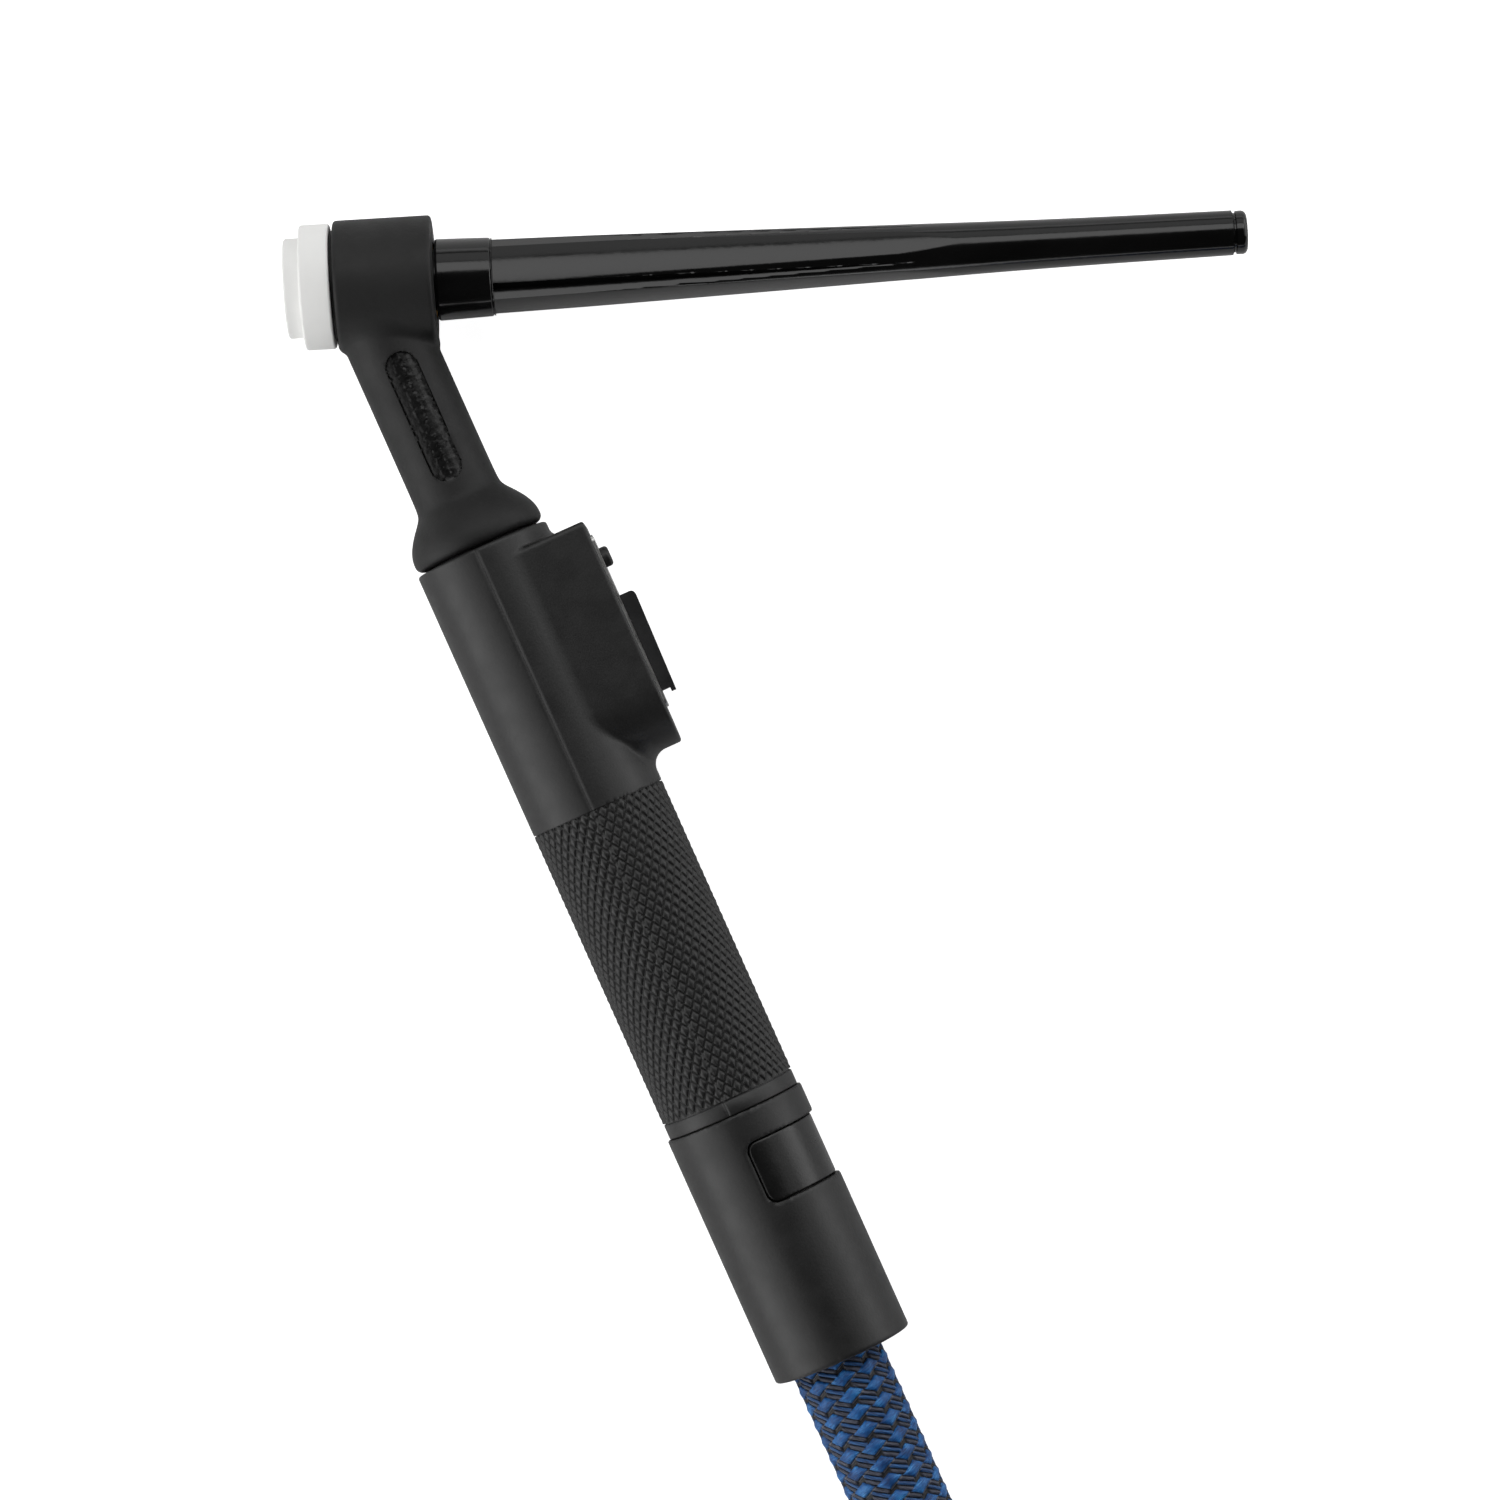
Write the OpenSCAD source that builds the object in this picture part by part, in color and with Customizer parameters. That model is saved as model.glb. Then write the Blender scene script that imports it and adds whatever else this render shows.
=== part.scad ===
// TIG welding torch with a two-shell handle, a rubber-covered head, a long back cap
// and a braided cable set that ends in a central connector.
// The torch lies on its side: the handle runs along Y with the head at +Y,
// the switch points to +X, and Z = 0 is the surface that it lies on.

/* [Handle] */
// Length of the handle, from the end of the rear sleeve to the head joint
handle_len = 147; // [140:1:165]
// Outer diameter of the smooth part of the two shells
shell_d = 23.3; // [22.5:0.1:24]
// Outer diameter over the knurled grip
grip_d = 23.4; // [23:0.1:24.2]
// Outer diameter of the plain band behind the grip
band_d = 23.2; // [22.5:0.1:24]
// Length of the plain band between the sleeve and the knurled grip
band_len = 2.8; // [1:0.1:8]
// Smooth length between the knurled grip and the switch housing
grip_gap = 4.4; // [1:0.1:12]
// Wall of the two shells
shell_wall = 1.8; // [1.4:0.1:2.2]
// Offset of the parting plane from the handle axis, towards the back
parting_offset = 0.7; // [0:0.1:1.5]

/* [Rear sleeve] */
// Outer diameter of the locking sleeve
sleeve_d = 24.2; // [23.8:0.1:26]
// Length of the locking sleeve
sleeve_len = 44.3; // [42:0.1:46]
// Wall of the locking sleeve
sleeve_wall = 1.6; // [1.2:0.1:2]
// Where the latch window starts, from the sleeve end
window_start = 28.2; // [24:0.1:30]
// Length of the latch window along the handle
window_len = 11; // [8:0.1:12]
// Step from the sleeve surface down to the latch pad
latch_step = 0.6; // [0.3:0.1:1]

/* [Switch housing] */
// Distance from the head end of the handle to the housing
housing_back = 3; // [2:0.1:6]
// Length of the housing
housing_len = 39.8; // [38.5:0.1:42]
// Reach of the housing face from the handle axis
housing_reach = 17.4; // [16.9:0.1:19]
// Width of the housing
housing_w = 20.8; // [19:0.1:22]
// Corner radius at the head end of the housing
housing_corner = 0.8; // [0.4:0.1:2]

/* [Switch module] */
// Thickness of the metal switch plate
plate_t = 0.4; // [0.3:0.1:0.8]
// Length of the switch plate
plate_len = 31; // [30:0.5:33]
// Width of the switch plate
plate_w = 14.6; // [14:0.1:16]
// Distance from the start of the housing to the main button
button_inset = 9; // [8.6:0.1:9.8]
// Length of the main button
button_len = 17.3; // [15:0.1:17.6]
// Width of the main button
button_w = 8; // [6:0.1:8.6]
// Height of the main button above the housing face
button_proud = 3; // [2.6:0.1:4]
// Swing of the main button, in degrees
button_swing = 3.6; // [2:0.1:4]
// Diameter of the hinge pin of the main button
pin_d = 1.6; // [1:0.1:2]
// Diameter of the small button
knob_d = 3.5; // [2.5:0.1:4]
// Height of the small button above the housing face
knob_proud = 1.8; // [1.4:0.1:2.5]
// Distance from the head end of the housing to the small button's axis
knob_back = 6.55; // [6:0.05:8]
// Travel of the small button
knob_travel = 0.6; // [0.3:0.1:0.8]
// Diameter of the two control wires
wire_d = 1.6; // [1:0.1:1.8]

/* [Head] */
// Angle between the back cap and the handle, in degrees
head_angle = 69.25; // [60:0.25:90]
// Distance from the handle's end to the head's centre, along the handle
head_rise = 47.1; // [44:0.1:55]
// Sideways offset of the head's centre from the handle axis
head_offset = 3.4; // [0:0.1:5]
// Diameter of the rubber-covered head
head_d = 21.7; // [20:0.1:24]
// Length of the head in front of its centre
head_front = 8.05; // [8:0.05:10]
// Length of the head behind its centre
head_back = 8.3; // [8:0.05:10]
// Diameter of the neck
neck_d = 14.6; // [13:0.1:16]
// Largest diameter of the flare at the foot of the neck
flare_d = 22.8; // [20:0.1:23]
// Length of the flare
flare_len = 8.5; // [6:0.1:12]
// Length of the bare recess in the neck
recess_len = 23; // [10:0.5:24]
// Width of the bare recess
recess_w = 5.4; // [3:0.1:6]
// Diameter of the brass head body
body_d = 15.2; // [14:0.1:16]
// Diameter of the collet-body thread at the front of the head
collet_d = 8.4; // [7:0.1:9]
// Length of the collet-body thread
collet_thread = 10; // [6:0.5:10.5]
// Diameter of the nose that carries the cup gasket
nose_d = 12; // [11:0.1:12.8]

/* [Cup gasket] */
// Outer diameter of the gasket
gasket_d = 20.9; // [19:0.1:22]
// Thickness of the gasket's disc
gasket_t = 5.05; // [4:0.05:6]
// Diameter of the gasket's front step
step_d = 16.7; // [15:0.1:18]
// Thickness of the gasket's front step
step_t = 2.75; // [2:0.05:4]
// Diameter of the passage through the gasket's step
passage_d = 10; // [9.4:0.1:11]

/* [Back cap] */
// Length of the cap behind the head
cap_len = 135.2; // [110:0.1:150]
// Diameter of the base ring at the head
cap_ring_d = 13.6; // [12.8:0.1:15]
// Length of the base ring
cap_ring_len = 9.2; // [7:0.1:12]
// Diameter of the cap where its flutes start
cap_base_d = 13; // [12.4:0.1:14]
// Diameter of the cap where its taper slows down
cap_knee_d = 8.1; // [7.6:0.1:9.6]
// Distance from the base ring to where the taper slows down
cap_knee_len = 92; // [88:1:110]
// Diameter of the cap at its tip
cap_tip_d = 7.5; // [6.5:0.1:7.6]
// Number of flutes around the cap
flutes = 4; // [3:1:5]
// Width of a flute
flute_w = 6.5; // [4:0.1:6.5]
// Length of the flutes
flute_len = 79.5; // [60:0.5:85]
// Depth of a flute at its shoulder
flute_depth = 1.15; // [0.6:0.05:1.3]
// Turn of the first flute from the upper side, in degrees
flute_turn = 17; // [0:1:45]
// Bore for the tungsten electrode
tungsten_d = 4.2; // [3.4:0.1:5]
// Diameter of the cap's thread
cap_thread_d = 10.4; // [9.4:0.1:11]
// Length of the cap's thread
cap_thread = 7.6; // [6:0.1:7.9]

/* [Inner hose] */
// Outer diameter of the power and gas hose in the handle
hose_d = 10; // [9:0.1:11]
// Bore of the hose
hose_bore = 5; // [4:0.1:6]
// Outer diameter of the neck tube
tube_d = 6.4; // [5.6:0.1:7]
// Bore of the neck tube
tube_bore = 3.8; // [3:0.1:4.2]

/* [Cable] */
// Diameter of the braided cable
cable_d = 16.2; // [15.5:0.1:16.4]

/* [Coil tie] */
// Width of the tie's strap
tie_w = 18; // [10:1:25]
// Thickness of the strap
tie_t = 1.6; // [1:0.1:3]

/* [Connector] */
// Length of the connector's rubber boot
boot_len = 42; // [30:1:60]
// Diameter of the boot at the cable
boot_tail_d = 19.2; // [18:0.1:21]
// Diameter of the boot at the connector's body
boot_head_d = 25.6; // [24:0.1:26.5]
// Diameter of the connector's body
plug_d = 27.2; // [26.6:0.1:29]
// Length of the connector's body
plug_len = 32; // [25:1:45]
// Outer diameter of the coupling nut
nut_d = 36; // [34:0.5:40]
// Length of the coupling nut
nut_len = 23.7; // [18:0.1:30]
// Diameter inside the coupling nut's thread
nut_bore = 29.2; // [28.8:0.1:30]
// Diameter of the centre pin
centre_pin_d = 10; // [8:0.1:11]
// Length of the centre pin
centre_pin_len = 15; // [10:0.5:18]
// Diameter of the two control pins
control_pin_d = 3; // [2:0.1:3.4]

/* [Hidden] */
$fn = 64;
slip = 0.1;               // clearance between pieces that fit in each other
run = 0.3;                // clearance around pieces that move
over = 1;                 // how far a cut runs past the face that it opens
lean = 90 - head_angle;   // turn of the head axis from +X, towards -Y

// Handle
shell_r = shell_d / 2;
grip_r = grip_d / 2;
band_r = band_d / 2;
sleeve_r = sleeve_d / 2;
housing_end = handle_len - housing_back;
housing_start = housing_end - housing_len;
grip_start = sleeve_len + band_len;
grip_end = housing_start - grip_gap;
cavity_r = shell_r - shell_wall;
tongue_r = sleeve_r - sleeve_wall - slip;
tongue_start = 8;
tongue_bore_r = tongue_r - shell_wall;
latch_r = sleeve_r - latch_step;
edge_r = 0.5;             // rounding of the shells' ends
seam_w = 0.3;             // width of the fine groove along the parting line
seam_depth = 0.2;
window_corner = 1;
window_sill = 0.2;        // the window stops this far past the parting plane
latch_gap = 0.15;         // gap around the latch pad in its window

// Neck joint inside the handle
joint_gap = 0.35;
spigot_r = cavity_r - 1.2;
spigot_len = 13;
flange_t = 3;
flange_r = cavity_r - slip;
flange_end = handle_len - spigot_len;
flange_start = flange_end - flange_t;

// Switch housing and module
housing_half = housing_w / 2;
housing_wall = 1.6;
housing_chamfer = 0.5;
module_half = 6.1;
carrier_top = housing_reach - 0.05;
carrier_start = housing_start + 6.6;
carrier_end = housing_end - 2.8;
button_start = housing_start + button_inset;
button_end = button_start + button_len;
button_half = button_w / 2;
button_face = housing_reach + button_proud;
button_cap_t = 0.8;
pin_depth = 1.8;          // from the housing face to the hinge pin's axis
pivot_x = housing_reach - pin_depth;
pivot_y = button_end - 2.3;
pin_r = pin_d / 2;
knob_r = knob_d / 2;
knob_pos = housing_end - knob_back;
knob_face = housing_reach + knob_proud;
knob_flange_r = knob_r + 0.5;
knob_flange_t = 0.8;
knob_flange_x = housing_reach - 1.6 - knob_flange_t;
board_t = 0.8;
board_depth = 7.8;        // from the housing face to the back of the board
board_x = housing_reach - board_depth;
board_top = board_x + board_t;
board_half = 5.4;
board_end = carrier_end - 1 - slip;
main_switch_y = button_start + 3.6;
pin_wall = 0.7;           // the main button's wall under its hinge pin
button_under = pivot_x - pin_r - pin_wall;
plunger_h = 0.4;
plunger_top = button_under - run - (pivot_y - main_switch_y) * tan(button_swing);
switch_h = plunger_top - plunger_h - board_top;
main_switch_len = 6;
aux_switch_len = 6;
knob_under = plunger_top + knob_travel + run;
main_spring_y = pivot_y - 6.5;
spring_wall = 0.35;
main_spring_r = 1.5;
wire_r = wire_d / 2;
hose_r = hose_d / 2;
wire_x = (hose_r + tongue_bore_r) / 2;
wire_z = 1.7;
wire_turn = carrier_start + 6;

// Hose line
hose_start = tongue_start;
union_start = housing_start - 7.2;
hose_end = union_start - 1;
union_len = 13;
union_end = union_start + union_len;
union_flats = 10.6;
ferrule_len = 10;
ferrule_t = 0.8;
tube_r = tube_d / 2;
bush_face = 1.5;
bush_len = 18.5;

// Head
head_x = head_offset;
head_y = handle_len + head_rise;
head_r = head_d / 2;
head_edge = 0.6;
neck_r = neck_d / 2;
flare_r = flare_d / 2;
flare_rim = 1.5;
body_r = body_d / 2;
recess_depth = 0.45;
recess_x = 0.4;
recess_top = head_y - head_r - 1.05;
nose_r = nose_d / 2;
nose_len = 3.95;
gasket_gap = 0.6;
gasket_r = gasket_d / 2;
step_r = step_d / 2;
gasket_back = -(head_front + gasket_gap);
gasket_front = gasket_back - gasket_t;
step_front = gasket_front - step_t;
gasket_edge = 0.4;
boss_r = tube_r + 1.5;    // collar on the head body that holds the neck tube
boss_start = head_y - 13.5;
tube_end = head_y - (cap_thread_d / 2 + run + max(0, tube_r - head_x) * sin(lean)) / cos(lean) - 0.4;
chamber_r = 3.2;
gas_port_r = 1.2;

// Back cap, measured along the head axis from the head's centre
cap_gap = 0.4;
cap_start = head_back + cap_gap;
cap_end = cap_start + cap_len;
shoulder = cap_start + cap_ring_len;
cap_ring_r = cap_ring_d / 2;
cap_base_r = cap_base_d / 2;
cap_tip_r = cap_tip_d / 2;
tip_len = 1.9;
tip_groove = 0.45;
tip_r = cap_tip_r - 0.1;
tip_round = 0.9;
flute_start = shoulder + 0.3;
flute_floor = cap_base_r - flute_depth;
flute_end = flute_start + flute_len;
thread_r = cap_thread_d / 2;
seal_minor = 0.8;
seal_major = thread_r + 0.2;
seal_at = head_back - 1.05;
seal_seat_r = seal_major + seal_minor + slip;
seal_groove_r = seal_major - seal_minor - slip;

// Cable
cable_r = cable_d / 2;
cable_sides = 12;
turn_pitch = cable_d + 0.2;
cable_x = -1.2;           // the cable leaves the handle this far beside its axis
layer_turns = 2.5;        // each of the coil's two full layers is a spiral of so many turns
coil_layers = 2;
coil_mean_r = 84.5;
outer_turn = coil_mean_r + turn_pitch * layer_turns / 2;
coil_x = cable_x + outer_turn;
coil_y = -184;
coil_in = coil_mean_r - turn_pitch * layer_turns / 2 - cable_r;
coil_out = outer_turn + cable_r;
coil_h = turn_pitch * (coil_layers - 1) + 2 * cable_r;
tie_in = 0.8;
tie_at = 240;             // the tie's place around the coil, in degrees

// Connector
plug_r = plug_d / 2;
boot_tail_r = boot_tail_d / 2;
boot_head_r = boot_head_d / 2;
nut_r = nut_d / 2;
nut_bore_r = nut_bore / 2;
nut_lip = 3;
plug_neck_r = plug_r - 1.4;
plug_end = boot_len + plug_len;
nut_start = plug_end + run;
plug_neck_len = nut_lip + 2 * run;
plug_flange_t = 3;
plug_face = plug_end + plug_neck_len + plug_flange_t;
plug_flange_r = nut_bore_r - run;
nut_grooves = 18;
nut_groove_r = 1;
centre_pin_r = centre_pin_d / 2;
control_pin_r = control_pin_d / 2;
control_pin_len = 8;
control_pin_at = (centre_pin_r + nut_bore_r) / 2;
floor_gap = 0.2;
plug_tilt = asin((nut_r - boot_tail_r) / nut_start);
plug_x = coil_x - 90;
plug_y = coil_y + 29;
plug_z = coil_h + boot_tail_r * cos(plug_tilt) + floor_gap;

// Place in the row's frame: the box of the torch alone is centred on the origin
function head_point(s, r, edge) =
    [head_x + s * cos(lean) + r * sin(lean) + edge, head_y - s * sin(lean) + r * cos(lean) + edge];
low_x = min(-sleeve_r, head_x + step_front * cos(lean) - step_r * sin(lean));
high_x = head_point(cap_end - tip_round, tip_r - tip_round, tip_round)[0];
high_y = max(
    head_point(gasket_front + gasket_edge, gasket_r - gasket_edge, gasket_edge)[1],
    head_point(-head_front + head_edge, head_r - head_edge, head_edge)[1]
);
mid_x = (low_x + high_x) / 2;
mid_y = high_y / 2;

// Route of the cable's open ends, in the handle's x and y and the height above the surface
lay = cable_r + 0.1;      // height of the centreline where the cable lies on the surface
top_lay = coil_h + cable_r - 0.1;
top_turn = coil_mean_r + 10.5;
end_bend = 62;
lead_points = [
    [cable_x, bush_face, sleeve_r], [cable_x, -15, sleeve_r], [cable_x, -30, sleeve_r - 1.1],
    [cable_x, -45, lay + 1.3], [cable_x, -60, lay + 0.3], [cable_x, -80, lay],
    [cable_x, -110, lay], [cable_x, -140, lay], [cable_x, coil_y + 18, lay]
];

end_gap = 0.15;      // from the cable's end to the boot, along the cable
climb_start = 250;   // the turn, in degrees, where the cable's last part leaves the layer below
inward_start = 320;  // the turn where it starts to wind inwards
climb_sink = 0.2;    // how far it settles between the turns below
function ease(x) = let (t = min(max(x, 0), 1)) t * t * (3 - 2 * t);
// The last part of the cable climbs onto the coil and bends round into the plug
function climb_point(turn) =
    let (r = outer_turn + (top_turn - outer_turn) * ease((turn - inward_start) / 130))
    [coil_x + r * cos(turn), coil_y + r * sin(turn),
     lay + turn_pitch - climb_sink
         + (top_lay - lay - turn_pitch + climb_sink) * ease((turn - climb_start) / 130)];
tail_points = concat(
    [for (turn = [290:16:450]) climb_point(turn)],
    [for (turn = [0:22.5:67.5])
        [plug_x + end_bend * (1 - sin(turn)), coil_y + top_turn - end_bend * (1 - cos(turn)), top_lay + 0.2]],
    [for (back = [coil_y + top_turn - end_bend - plug_y, end_gap])
        [plug_x, plug_y + back, plug_z - back * tan(plug_tilt)]]
);

// ---------- Frames ----------

module placed() {
    translate([-mid_x, -mid_y, sleeve_r]) children();
}

// Local +Z runs along the handle, towards the head
module on_handle() {
    placed() rotate([-90, 0, 0]) children();
}

// Local +Z runs along the head axis, towards the back cap
module on_head() {
    placed() translate([head_x, head_y, 0]) rotate([0, 0, -lean]) rotate([0, 90, 0]) children();
}

// A drawing of (handle length, height) pushed out along +X
module along_x(from, to) {
    placed() translate([from, 0, 0]) rotate([90, 0, 90]) linear_extrude(to - from) children();
}

// A drawing of (reach, handle length), centred on the handle's middle plane
module across(width) {
    placed() translate([0, 0, -width / 2]) linear_extrude(width) children();
}

module on_plug() {
    translate([plug_x - mid_x, plug_y - mid_y, plug_z]) rotate([90 - plug_tilt, 0, 0]) children();
}

module ring(from, to, outer, inner) {
    translate([0, 0, from]) difference() {
        cylinder(h = to - from, r = outer);
        translate([0, 0, -over]) cylinder(h = to - from + 2 * over, r = inner);
    }
}

module rod(from, to, radius) {
    translate([0, 0, from]) cylinder(h = to - from, r = radius);
}

module rounded_rect(size, corner) {
    translate([corner, 0]) square([size[0] - 2 * corner, size[1]]);
    translate([0, corner]) square([size[0], size[1] - 2 * corner]);
    for (x = [corner, size[0] - corner], y = [corner, size[1] - corner])
        translate([x, y]) circle(corner);
}

// ---------- Handle shells ----------

function corner_arc(cx, cy, radius, from, to, steps) =
    [for (i = [0:steps]) let (a = from + (to - from) * i / steps)
        [cx + radius * cos(a), cy + radius * sin(a)]];

module shell_solid() {
    on_handle() {
        rotate_extrude() polygon(concat(
            [[0, tongue_start], [tongue_r, tongue_start], [tongue_r, sleeve_len + slip],
             [band_r, sleeve_len + slip], [band_r, grip_start], [grip_r, grip_start],
             [grip_r, grip_end], [shell_r, grip_end]],
            corner_arc(shell_r - edge_r, handle_len - edge_r, edge_r, 0, 90, 6),
            [[0, handle_len]]
        ));
    }
}

module shell_cavity() {
    on_handle() {
        rod(tongue_start - over, grip_start, tongue_bore_r);
        rod(grip_start - over, flange_end, cavity_r);
        rod(flange_end - over, handle_len + over, spigot_r + slip / 2);
    }
}

module seam_cut() {
    placed() for (foot = [-band_r - over, band_r - seam_depth])
        translate([-parting_offset - seam_w / 2, 0, foot])
            cube([seam_w, handle_len + over, over + seam_depth]);
}

module back_side() {
    placed() translate([-2 * sleeve_r, 0, -2 * sleeve_r])
        cube([2 * sleeve_r - parting_offset, 2 * handle_len, 4 * sleeve_r]);
}

module rear_shell() {
    color([0.16, 0.16, 0.16]) difference() {
        intersection() {
            shell_solid();
            back_side();
        }
        shell_cavity();
        seam_cut();
    }
}

// Outline of the housing seen along +X, drawn in by inset
module housing_outline(inset) {
    r = housing_half - inset;
    corner = max(housing_corner - inset, 0.1);
    middle = housing_start + housing_half;
    translate([middle, 0]) circle(r);
    translate([middle, -r]) square([housing_end - inset - middle - corner, 2 * r]);
    translate([middle, -r + corner]) square([housing_end - inset - middle, 2 * (r - corner)]);
    for (side = [-1, 1])
        translate([housing_end - inset - corner, side * (r - corner)]) circle(corner);
}

module housing_block() {
    along_x(0, housing_reach - housing_chamfer) housing_outline(0);
    along_x(0, housing_reach) housing_outline(housing_chamfer * 0.7);
}

module housing_cavity() {
    difference() {
        along_x(0, housing_reach - housing_wall) housing_outline(housing_wall);
        on_handle() rod(flange_end, handle_len, cavity_r);
    }
    along_x(0, housing_reach + over)
        translate([carrier_start - slip, -module_half - slip])
            rounded_rect([carrier_end - carrier_start + 2 * slip, 2 * (module_half + slip)], 0.6);
}

// Outline of the latch window seen from the side, drawn in by inset
module window_outline(inset) {
    translate([-parting_offset + window_sill + inset, window_start + inset])
        rounded_rect([2 * sleeve_r, window_len - 2 * inset], window_corner - inset);
}

module latch_pad() {
    intersection() {
        on_handle() ring(window_start, window_start + window_len, latch_r, tongue_r - shell_wall / 2);
        across(4 * sleeve_r) window_outline(latch_gap);
    }
}

module front_shell() {
    color([0.16, 0.16, 0.16]) difference() {
        union() {
            difference() {
                union() {
                    shell_solid();
                    housing_block();
                }
                shell_cavity();
                housing_cavity();
            }
            latch_pad();
        }
        back_side();
        seam_cut();
    }
}

module rear_sleeve() {
    color([0.18, 0.18, 0.18]) difference() {
        on_handle() rotate_extrude() polygon(concat(
            [[sleeve_r - sleeve_wall, 0]],
            corner_arc(sleeve_r - edge_r, edge_r, edge_r, -90, 0, 6),
            corner_arc(sleeve_r - edge_r / 2, sleeve_len - edge_r / 2, edge_r / 2, 0, 90, 4),
            [[sleeve_r - sleeve_wall, sleeve_len]]
        ));
        across(4 * sleeve_r) window_outline(0);
    }
}

// ---------- Cable anchor and hose line ----------

module wire_places() {
    for (side = [-1, 1])
        translate([wire_x, side * wire_z, 0]) children();
}

module cable_bush() {
    color([0.12, 0.12, 0.13]) on_handle() difference() {
        union() {
            rod(bush_face, tongue_start - slip, tongue_r);
            rod(bush_face, bush_face + bush_len, tongue_bore_r - slip);
        }
        rod(hose_start, bush_face + bush_len + over, hose_r);
        wire_places() rod(hose_start, bush_face + bush_len + over, wire_r);
    }
}

module power_hose() {
    color([0.1, 0.1, 0.1]) on_handle() ring(hose_start, hose_end, hose_r, hose_bore / 2);
}

module hose_ferrule() {
    color([0.72, 0.58, 0.3]) on_handle()
        ring(hose_end - ferrule_len - 0.5, hose_end - 0.5, hose_r + ferrule_t, hose_r);
}

module hose_union() {
    color([0.76, 0.6, 0.28]) on_handle() difference() {
        union() {
            rod(hose_end - ferrule_len - 2, union_start + 0.5, hose_bore / 2);
            rod(hose_end, union_start + 0.5, hose_r);
            translate([0, 0, union_start]) cylinder(h = union_len, d = union_flats / cos(30), $fn = 6);
        }
        rod(hose_end - 2 * ferrule_len, union_end + over, gas_port_r);
        rod(union_end - 7, union_end + over, tube_r);
    }
}

module neck_tube() {
    color([0.72, 0.45, 0.3]) on_handle() ring(union_end - 7, tube_end, tube_r, tube_bore / 2);
}

// ---------- Head ----------

module head_body() {
    color([0.78, 0.62, 0.3]) difference() {
        union() {
            on_head() rod(-head_front, head_back, body_r);
            on_head() rod(-head_front - nose_len, 0, nose_r);
            on_handle() rod(boss_start, head_y - body_r / 2, boss_r);
        }
        on_head() {
            rod(-head_front - nose_len - over, -head_front - nose_len + collet_thread, collet_d / 2);
            rod(-head_front - nose_len + collet_thread - over, over, chamber_r);
            rod(0, head_back + over, thread_r + slip);
            rod(head_back - 2.1, head_back + over, seal_seat_r);
        }
        on_handle() {
            rod(boss_start - over, tube_end, tube_r);
            rod(tube_end - over, head_y, gas_port_r);
        }
    }
}

// Half-profile of the flare, from the neck down to its rim and the joint with the handle
flare_profile = concat(
    [for (i = [0:12]) let (a = 90 * i / 12)
        [neck_r + (flare_r - neck_r) * sin(a),
         handle_len + joint_gap + flare_len - (flare_len - flare_rim) * i / 12]],
    corner_arc(flare_r - flare_rim, handle_len + joint_gap + flare_rim, flare_rim, -15, -75, 4),
    [[0, handle_len + joint_gap]]
);

module head_cover() {
    color([0.15, 0.15, 0.15]) difference() {
        union() {
            on_head() rotate_extrude() polygon(concat(
                [[0, -head_front]],
                corner_arc(head_r - head_edge, -head_front + head_edge, head_edge, -90, 0, 6),
                corner_arc(head_r - head_edge, head_back - head_edge, head_edge, 0, 90, 6),
                [[0, head_back]]
            ));
            difference() {
                on_handle() rod(handle_len + joint_gap, head_y, neck_r);
                on_head() rod(-2 * head_d, -head_front, head_d);
            }
            on_handle() {
                rotate_extrude() polygon(concat(
                    [[0, handle_len + joint_gap + flare_len]], flare_profile));
                rod(flange_start, handle_len + joint_gap + over, spigot_r);
                rod(flange_start, flange_end - slip, flange_r);
            }
        }
        on_head() rod(-head_front - over, head_back + over, body_r);
        on_handle() {
            rod(flange_start - over, head_y, tube_r);
            rod(boss_start, head_y, boss_r);
        }
        placed() translate([0, 0, neck_r - recess_depth]) linear_extrude(over + recess_depth)
            translate([recess_x - recess_w / 2, recess_top - recess_len])
                rounded_rect([recess_w, recess_len], recess_w / 2 - 0.01);
        // flat that clears the circuit board and keeps the head from turning in the handle
        along_x(board_x - run, 2 * shell_r)
            translate([flange_start - over, -board_half - run])
                square([board_end + run - flange_start + over, 2 * (board_half + run)]);
    }
}

module cup_gasket() {
    color([0.93, 0.92, 0.9]) on_head() difference() {
        rotate_extrude() polygon(concat(
            [[0, step_front]],
            corner_arc(step_r - gasket_edge, step_front + gasket_edge, gasket_edge, -90, 0, 4),
            [[step_r, gasket_front]],
            corner_arc(gasket_r - gasket_edge, gasket_front + gasket_edge, gasket_edge, -90, 0, 4),
            corner_arc(gasket_r - gasket_edge, gasket_back - gasket_edge, gasket_edge, 0, 90, 4),
            [[0, gasket_back]]
        ));
        rod(-head_front - nose_len, 0, nose_r);
        rod(step_front - over, 0, passage_d / 2);
    }
}

// ---------- Back cap ----------

module cap_seal() {
    color([0.08, 0.08, 0.08]) on_head() translate([0, 0, seal_at])
        rotate_extrude() translate([seal_major, 0]) circle(seal_minor, $fn = 24);
}

cap_groove = cap_end - tip_len - tip_groove;
cap_knee = shoulder + cap_knee_len;
knee_blend = 30;          // length over which the two tapers blend
function blend_knee(x) = x < -1 ? 0 : x > 1 ? x : (x + 1) * (x + 1) / 4;
function cap_r(s) =
    let (slope = (cap_knee_d / 2 - cap_base_r) / cap_knee_len,
         end_slope = (cap_tip_r - cap_knee_d / 2) / (cap_groove - cap_knee),
         half = knee_blend / 2)
    cap_base_r + slope * (s - shoulder) + (end_slope - slope) * half * blend_knee((s - cap_knee) / half);

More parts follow.
